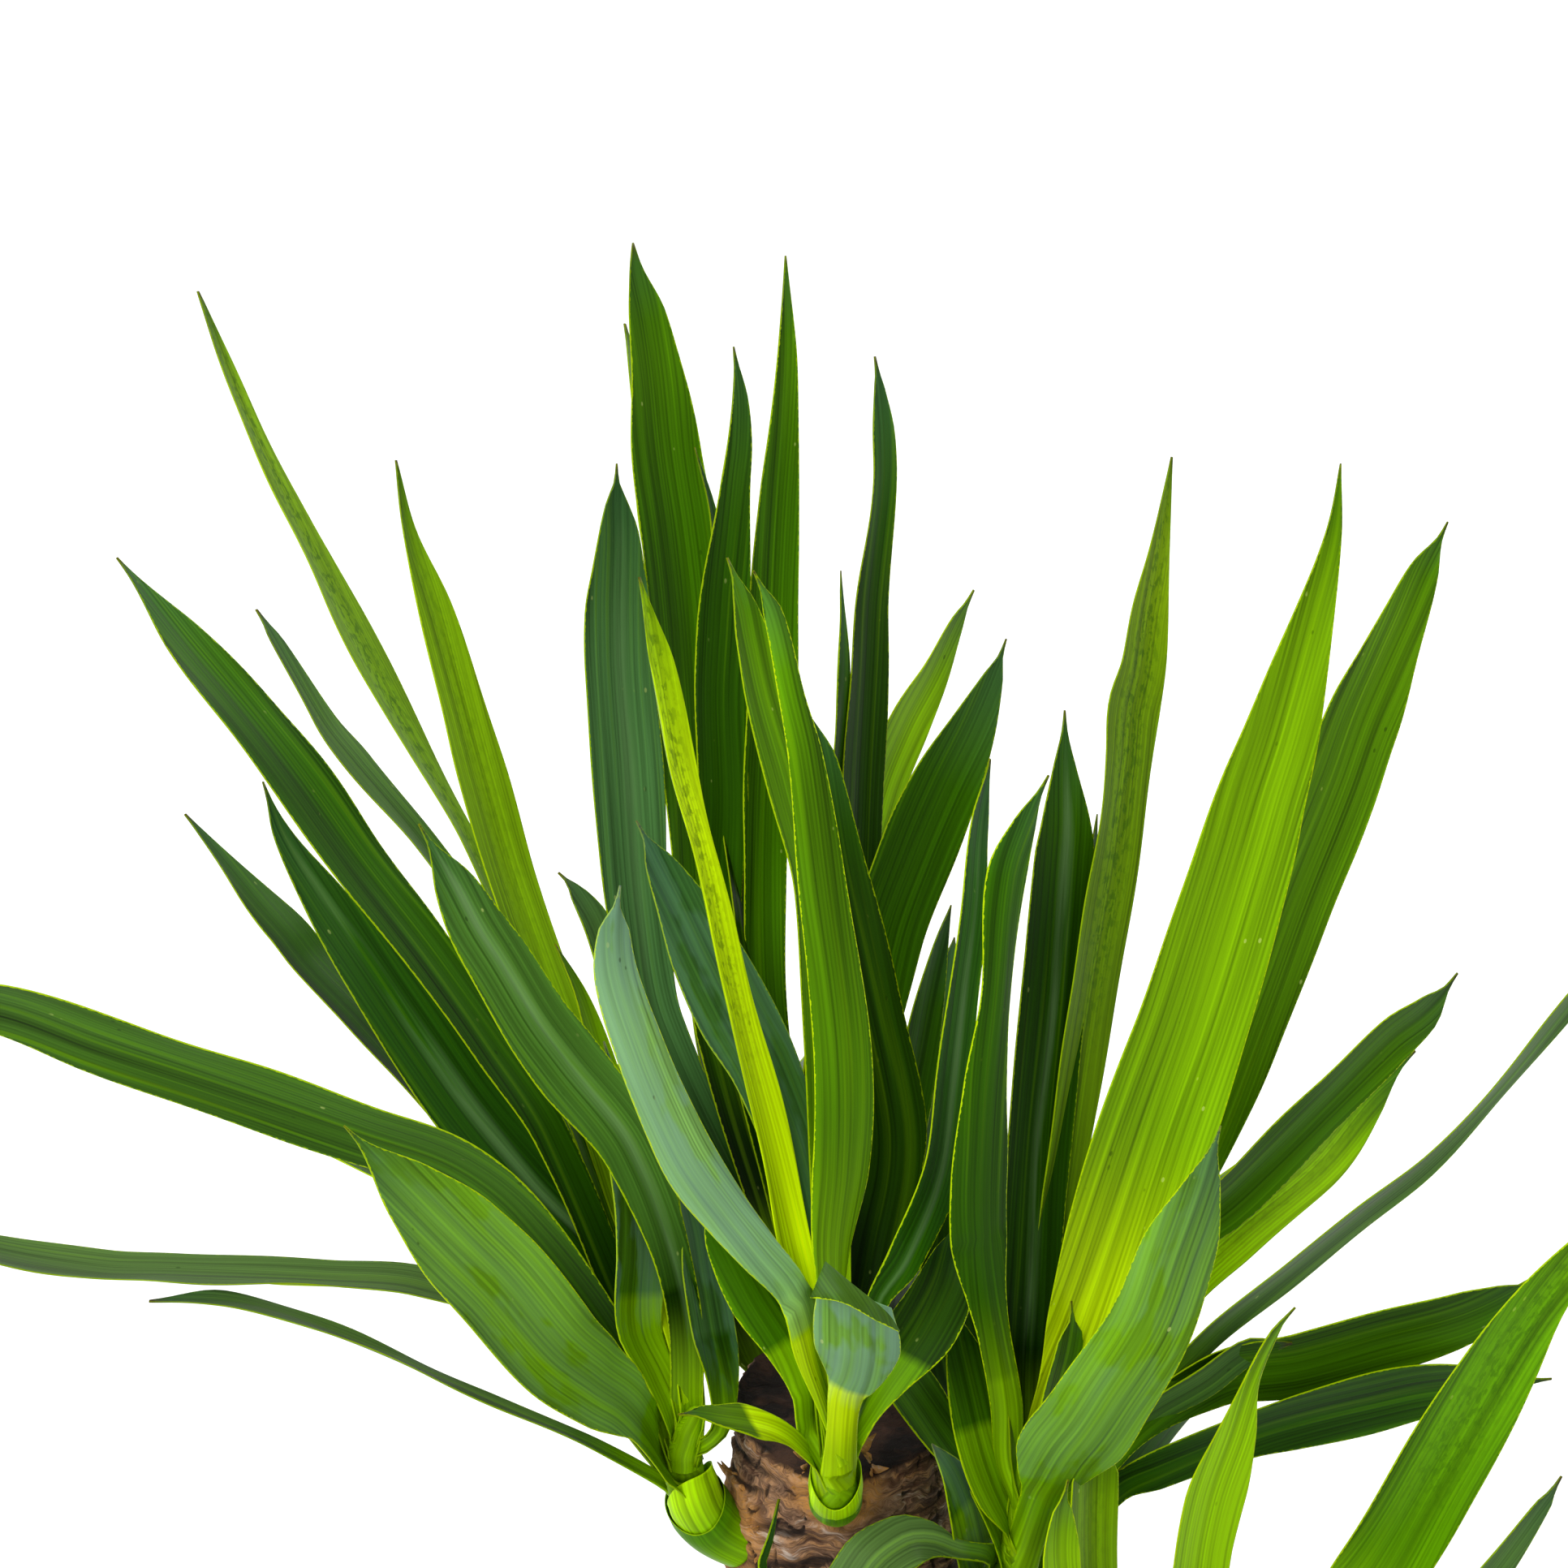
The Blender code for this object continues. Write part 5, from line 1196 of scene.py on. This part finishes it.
def bark_relief(spot, bend):
    """How far the bark stands out at a spot, in mm: lumps, overlapping layers, fibres and cracks."""
    lumps = noise.noise(spot * 36)
    sweep = noise.noise(spot * 17) * 1.6 + noise.noise(spot * 60) * 0.5
    layer = ((spot.z + bend) / (10 * MM) + sweep) % 1.0
    shelf = 1.6 * (layer**2 - 0.5)
    rings = noise.noise(Vector((spot.x * 60, spot.y * 60, spot.z * 380 + sweep * 3)))
    fibres = noise.noise(Vector((spot.x * 160, spot.y * 160, spot.z * 1000)))
    crack = abs(noise.noise(Vector((spot.x * 120, spot.y * 120, spot.z * 50 + 7))))
    crack = min(crack / 0.07, 1.0) - 1.0
    return 0.9 * lumps + 0.9 * shelf + 0.7 * rings + 0.35 * fibres + 1.1 * crack


def bark_shreds(name, middle, radius, vertices, faces, marks):
    """Torn strips of bark that curl out round each shoot where it breaks through."""
    draw = random.Random("shreds " + name)
    for shoot in SHOOTS:
        if shoot.cane != name:
            continue
        axis = shoot_axis(shoot)
        way = (axis[1] - axis[0]).normalized()
        out = Vector((axis[1].x - middle.x, axis[1].y - middle.y, 0.0)).normalized()
        centre = middle + out * radius + upward(axis[1].z)
        beside = out.cross(upward(1.0)).normalized()
        rise = upward(1.0)
        for number in range(SHREDS):
            angle = 2 * math.pi * (number + draw.uniform(-0.4, 0.4)) / SHREDS
            spoke = beside * math.cos(angle) + rise * math.sin(angle)
            reach = shoot.radius * MM * draw.uniform(1.15, 1.6)
            foot = centre + spoke * reach
            flat = Vector((foot.x - middle.x, foot.y - middle.y, 0.0))
            foot = middle + flat.normalized() * (radius - 1.2 * MM) + upward(foot.z)
            length = draw.uniform(4.0, 9.5) * MM
            wide = draw.uniform(2.0, 5.0) * MM
            curl = draw.uniform(-0.3, 0.9)
            across = way.cross(spoke).normalized()
            first = len(vertices)
            for step in range(SHRED_STEPS + 1):
                share = step / SHRED_STEPS
                lift = way * length * share * 0.8 + spoke * length * curl * share * share
                lift += spoke * draw.uniform(-0.3, 0.3) * MM
                half = wide / 2 * (1 - share**2) * draw.uniform(0.75, 1.1) + 0.15 * MM
                for turn, thick in ((-1, -1), (1, -1), (1, 1), (-1, 1)):
                    vertices.append(foot + lift + across * half * turn + spoke * 0.3 * MM * thick)
                    marks.append((1.0, 0.0, 0.2))
            faces.append((first + 3, first + 2, first + 1, first))
            for step in range(SHRED_STEPS):
                low = first + 4 * step
                for corner in range(4):
                    after = (corner + 1) % 4
                    faces.append((low + corner, low + after, low + 4 + after, low + 4 + corner))
            last = first + 4 * SHRED_STEPS
            faces.append((last, last + 1, last + 2, last + 3))


def build_cane(name, node, place, top, radius, material):
    """A cane with layered, cracked bark, torn rims round its shoots and a sawn cut."""
    sides, rings, cut_rings = 280, 250, 24
    bottom = SOIL_TOP - BARK_FOOT
    exits = [(shoot_axis(shoot)[1], shoot.radius) for shoot in SHOOTS if shoot.cane == name]
    middle = Vector((place.x, place.y, 0.0))
    vertices, marks = [], []
    for ring in range(rings + 1):
        height = bottom + (top - bottom) * ring / rings
        near_top = max(0.0, 1 - (top - height) / CUT_BEND)
        for side in range(sides):
            angle = 2 * math.pi * side / sides
            round_way = Vector((math.cos(angle), math.sin(angle), 0.0))
            spot = middle + round_way * radius + upward(height)
            torn, swell, bend = 0.0, 0.0, 0.0
            for out, thick in exits:
                gap = (spot - out).length / MM - thick
                torn = max(torn, smooth_step((13 - gap) / 7))
                swell = max(swell, smooth_step((24 - gap) / 20))
                bend += (out.z - spot.z) * 0.7 * math.exp(-max(gap, 0.0) / 12)
            for turn, rise, size, spread in BULGES:
                beside = ((angle - turn + math.pi) % (2 * math.pi) - math.pi) * radius / MM
                above = (height - top) / MM - rise
                swell += size / BARK_SWELL * math.exp(-(beside**2 + above**2) / spread**2)
            relief = bark_relief(spot, bend)
            ragged = 0.5 * noise.noise(spot * 260)
            reach = radius + relief * MM * 0.9 + (torn * (1.2 + ragged) + BARK_SWELL * swell) * MM
            if ring == rings:
                reach -= 0.8 * MM
            lift = (BACK_RISE if angle < math.pi else CUT_RISE) * near_top * math.sin(angle)
            if ring == rings:
                lift += (ragged + 0.8 * noise.noise(spot * 90)) * MM
            vertices.append(middle + round_way * reach + upward(height + lift))
            marks.append((torn, 1.0 if ring == rings else 0.0, relief))
    for ring in range(1, cut_rings):
        share = 1 - ring / cut_rings
        for side in range(sides):
            angle = 2 * math.pi * side / sides
            round_way = Vector((math.cos(angle), math.sin(angle), 0.0))
            spot = middle + round_way * (radius - 1.6 * MM) * share
            rough = noise.noise(Vector((spot.x * 90, spot.y * 420, 3.0))) * 0.6
            rough += noise.noise(Vector((spot.x * 60, spot.y * 60, 9.0))) * 1.0
            lift = (BACK_RISE if angle < math.pi else CUT_RISE) * math.sin(angle) * share
            lift += rough * MM * min(1.0, (1 - share) * 8)
            vertices.append(spot + upward(top + lift - CUT_DISH * (1 - share**6)))
            marks.append((0.0, 1.0, 0.0))
    faces = tube_faces(sides, rings + cut_rings - 1, closed=False)
    last = (rings + cut_rings - 1) * sides
    middle_index = last + sides
    vertices.append(middle + upward(top - CUT_DISH))
    marks.append((0.0, 1.0, 0.0))
    for side in range(sides):
        faces.append((last + side, last + (side + 1) % sides, middle_index))
    bark_shreds(name, middle, radius, vertices, faces, marks)
    made = object_from("bark_" + name, vertices, faces)
    set_vectors(made.data, "marks", marks)
    made.data.materials.append(material)
    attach(made, "root")
    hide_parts(node)
    return made


def soil_lumps(spot):
    """Height of the soil's larger lumps at a spot, in mm."""
    return noise.noise(spot * 30) * 1.8 + noise.noise(spot * 110) * 1.5


def build_soil(material):
    """Potting soil: a lumpy top that dips at the wall, and plain sides and bottom."""
    rings, sides = 70, 150
    vertices = [upward(SOIL_TOP)]
    faces = []
    for ring in range(1, rings + 1):
        reach = SOIL_RADIUS * ring / rings
        for side in range(sides):
            angle = 2 * math.pi * side / sides
            spot = Vector((reach * math.cos(angle), reach * math.sin(angle), 0.0))
            height = soil_lumps(spot) + noise.noise(spot * 330) * 0.8
            edge = -2.5 * smooth_step((ring / rings - 0.86) / 0.14)
            vertices.append(spot + upward(SOIL_TOP + (height + edge) * MM))
    for side in range(sides):
        faces.append((0, 1 + side, 1 + (side + 1) % sides))
    for ring in range(rings - 1):
        low = 1 + ring * sides
        for side in range(sides):
            after = (side + 1) % sides
            faces.append((low + side, low + sides + side, low + sides + after, low + after))
    low = 1 + (rings - 1) * sides
    foot = len(vertices)
    for side in range(sides):
        angle = 2 * math.pi * side / sides
        foot_place = (SOIL_FOOT_RADIUS * math.cos(angle), SOIL_FOOT_RADIUS * math.sin(angle), SOIL_BOTTOM)
        vertices.append(Vector(foot_place))
    for side in range(sides):
        after = (side + 1) % sides
        faces.append((low + side, foot + side, foot + after, low + after))
    faces.append(tuple(range(foot + sides - 1, foot - 1, -1)))
    made = object_from("soil_bed", vertices, faces)
    made.data.materials.append(material)
    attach(made, "root")
    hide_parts("soil")
    return made


def build_crumbs(material, name, count, small, large, flatness, seed):
    """Loose crumbs or chips on the soil, each a small uneven lump."""
    draw = random.Random(seed)
    shape = bmesh.new()
    bmesh.ops.create_icosphere(shape, subdivisions=2, radius=1.0)
    base = [vertex.co.copy() for vertex in shape.verts]
    base_faces = [tuple(vertex.index for vertex in face.verts) for face in shape.faces]
    shape.free()
    vertices, faces = [], []
    while count:
        reach = (SOIL_RADIUS - 4 * MM) * math.sqrt(draw.random())
        angle = draw.uniform(0, 2 * math.pi)
        spot = Vector((reach * math.cos(angle), reach * math.sin(angle), 0.0))
        if (spot - TALL_PLACE).length < TALL_RADIUS or (spot - SHORT_PLACE).length < SHORT_RADIUS:
            continue
        count -= 1
        size = draw.uniform(small, large) * MM
        spin = Matrix.Rotation(draw.uniform(0, 6.28), 3, "Z")
        turn = spin @ Matrix.Rotation(draw.uniform(-0.4, 0.4), 3, "X")
        shift = Vector((draw.uniform(0, 50), draw.uniform(0, 50), draw.uniform(0, 50)))
        height = soil_lumps(spot)
        offset = len(vertices)
        for point in base:
            grown = point * (1 + 0.5 * noise.noise(point * 1.6 + shift))
            grown = Vector((grown.x * size, grown.y * size * 0.7, grown.z * size * flatness))
            lift = upward(SOIL_TOP + height * MM + size * flatness * 0.4)
            vertices.append(turn @ grown + spot + lift)
        faces += [tuple(corner + offset for corner in face) for face in base_faces]
    made = object_from(name, vertices, faces)
    made.data.materials.append(material)
    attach(made, "root")
    return made


# Stage

def build_stage():
    """Pale floor, soft studio light and the camera at the photograph's angle."""
    floor_material, tree, shader = new_material("stage_floor", 0.9)
    shader.inputs["Base Color"].default_value = (0.93, 0.93, 0.93, 1.0)
    ring = []
    for side in range(FLOOR_SIDES):
        angle = FLOOR_TURN * side / FLOOR_SIDES
        ring.append(Vector((FLOOR_RADIUS * math.cos(angle), FLOOR_RADIUS * math.sin(angle), -FLOOR_DROP)))
    floor = object_from("stage_floor", ring, [tuple(range(FLOOR_SIDES))], smooth=False)
    floor.data.materials.append(floor_material)

    world = bpy.data.worlds.new("studio")
    bpy.context.scene.world = world
    world.use_nodes = True
    sky = world.node_tree.nodes["Background"].inputs
    sky["Color"].default_value = (1.0, 1.0, 1.0, 1.0)
    sky["Strength"].default_value = WORLD_LIGHT

    target = cut_centre() + upward(0.12)
    for name, kind, spot, size, power in (
        ("key", "SUN", (-0.9, -0.8, 1.9), math.radians(50), 2.5),
        ("rim", "AREA", (0.9, 1.5, 2.0), 1.0, 22.0),
    ):
        light = bpy.data.lights.new(name, kind)
        if kind == "SUN":
            light.angle = size
        else:
            light.shape = "DISK"
            light.size = size
        light.energy = power
        lamp = bpy.data.objects.new(name, light)
        lamp.location = spot
        lamp.rotation_euler = (target - Vector(spot)).to_track_quat("-Z", "Y").to_euler()
        bpy.context.scene.collection.objects.link(lamp)

    right, up, near = view_axes()
    camera = bpy.data.cameras.new("view")
    camera.sensor_width = SENSOR
    camera.sensor_fit = "HORIZONTAL"
    camera.lens = SENSOR * VIEW_DISTANCE / VIEW_WIDTH
    camera.clip_end = 50
    stand = bpy.data.objects.new("view", camera)
    turn = Matrix((right, up, near)).transposed().to_4x4()
    stand.matrix_world = Matrix.Translation(viewer()) @ turn
    bpy.context.scene.collection.objects.link(stand)
    bpy.context.scene.camera = stand
    bpy.context.scene.view_settings.view_transform = "Standard"


build_stage()
skin = leaf_material()
for index, one in enumerate(SHOOTS):
    build_shoot(one, skin, index)
bark = bark_material()
build_cane("tall", "cane_tall", TALL_PLACE, TALL_TOP, TALL_RADIUS, bark)
build_cane("short", "cane_short", SHORT_PLACE, SHORT_TOP, SHORT_RADIUS, bark)
build_soil(soil_material("soil_dark", (66, 48, 36), (26, 18, 14)))
build_crumbs(soil_material("soil_crumb", (78, 56, 40), (30, 21, 16)), "soil_crumbs", 520, 1.2, 3.6, 0.8, 5)
build_crumbs(soil_material("bark_chip", (128, 92, 62), (66, 42, 28)), "bark_chips", 70, 3.0, 7.0, 0.35, 11)
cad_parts["pot"].data.materials.clear()
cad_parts["pot"].data.materials.append(pot_material())

bpy.context.view_layer.update()
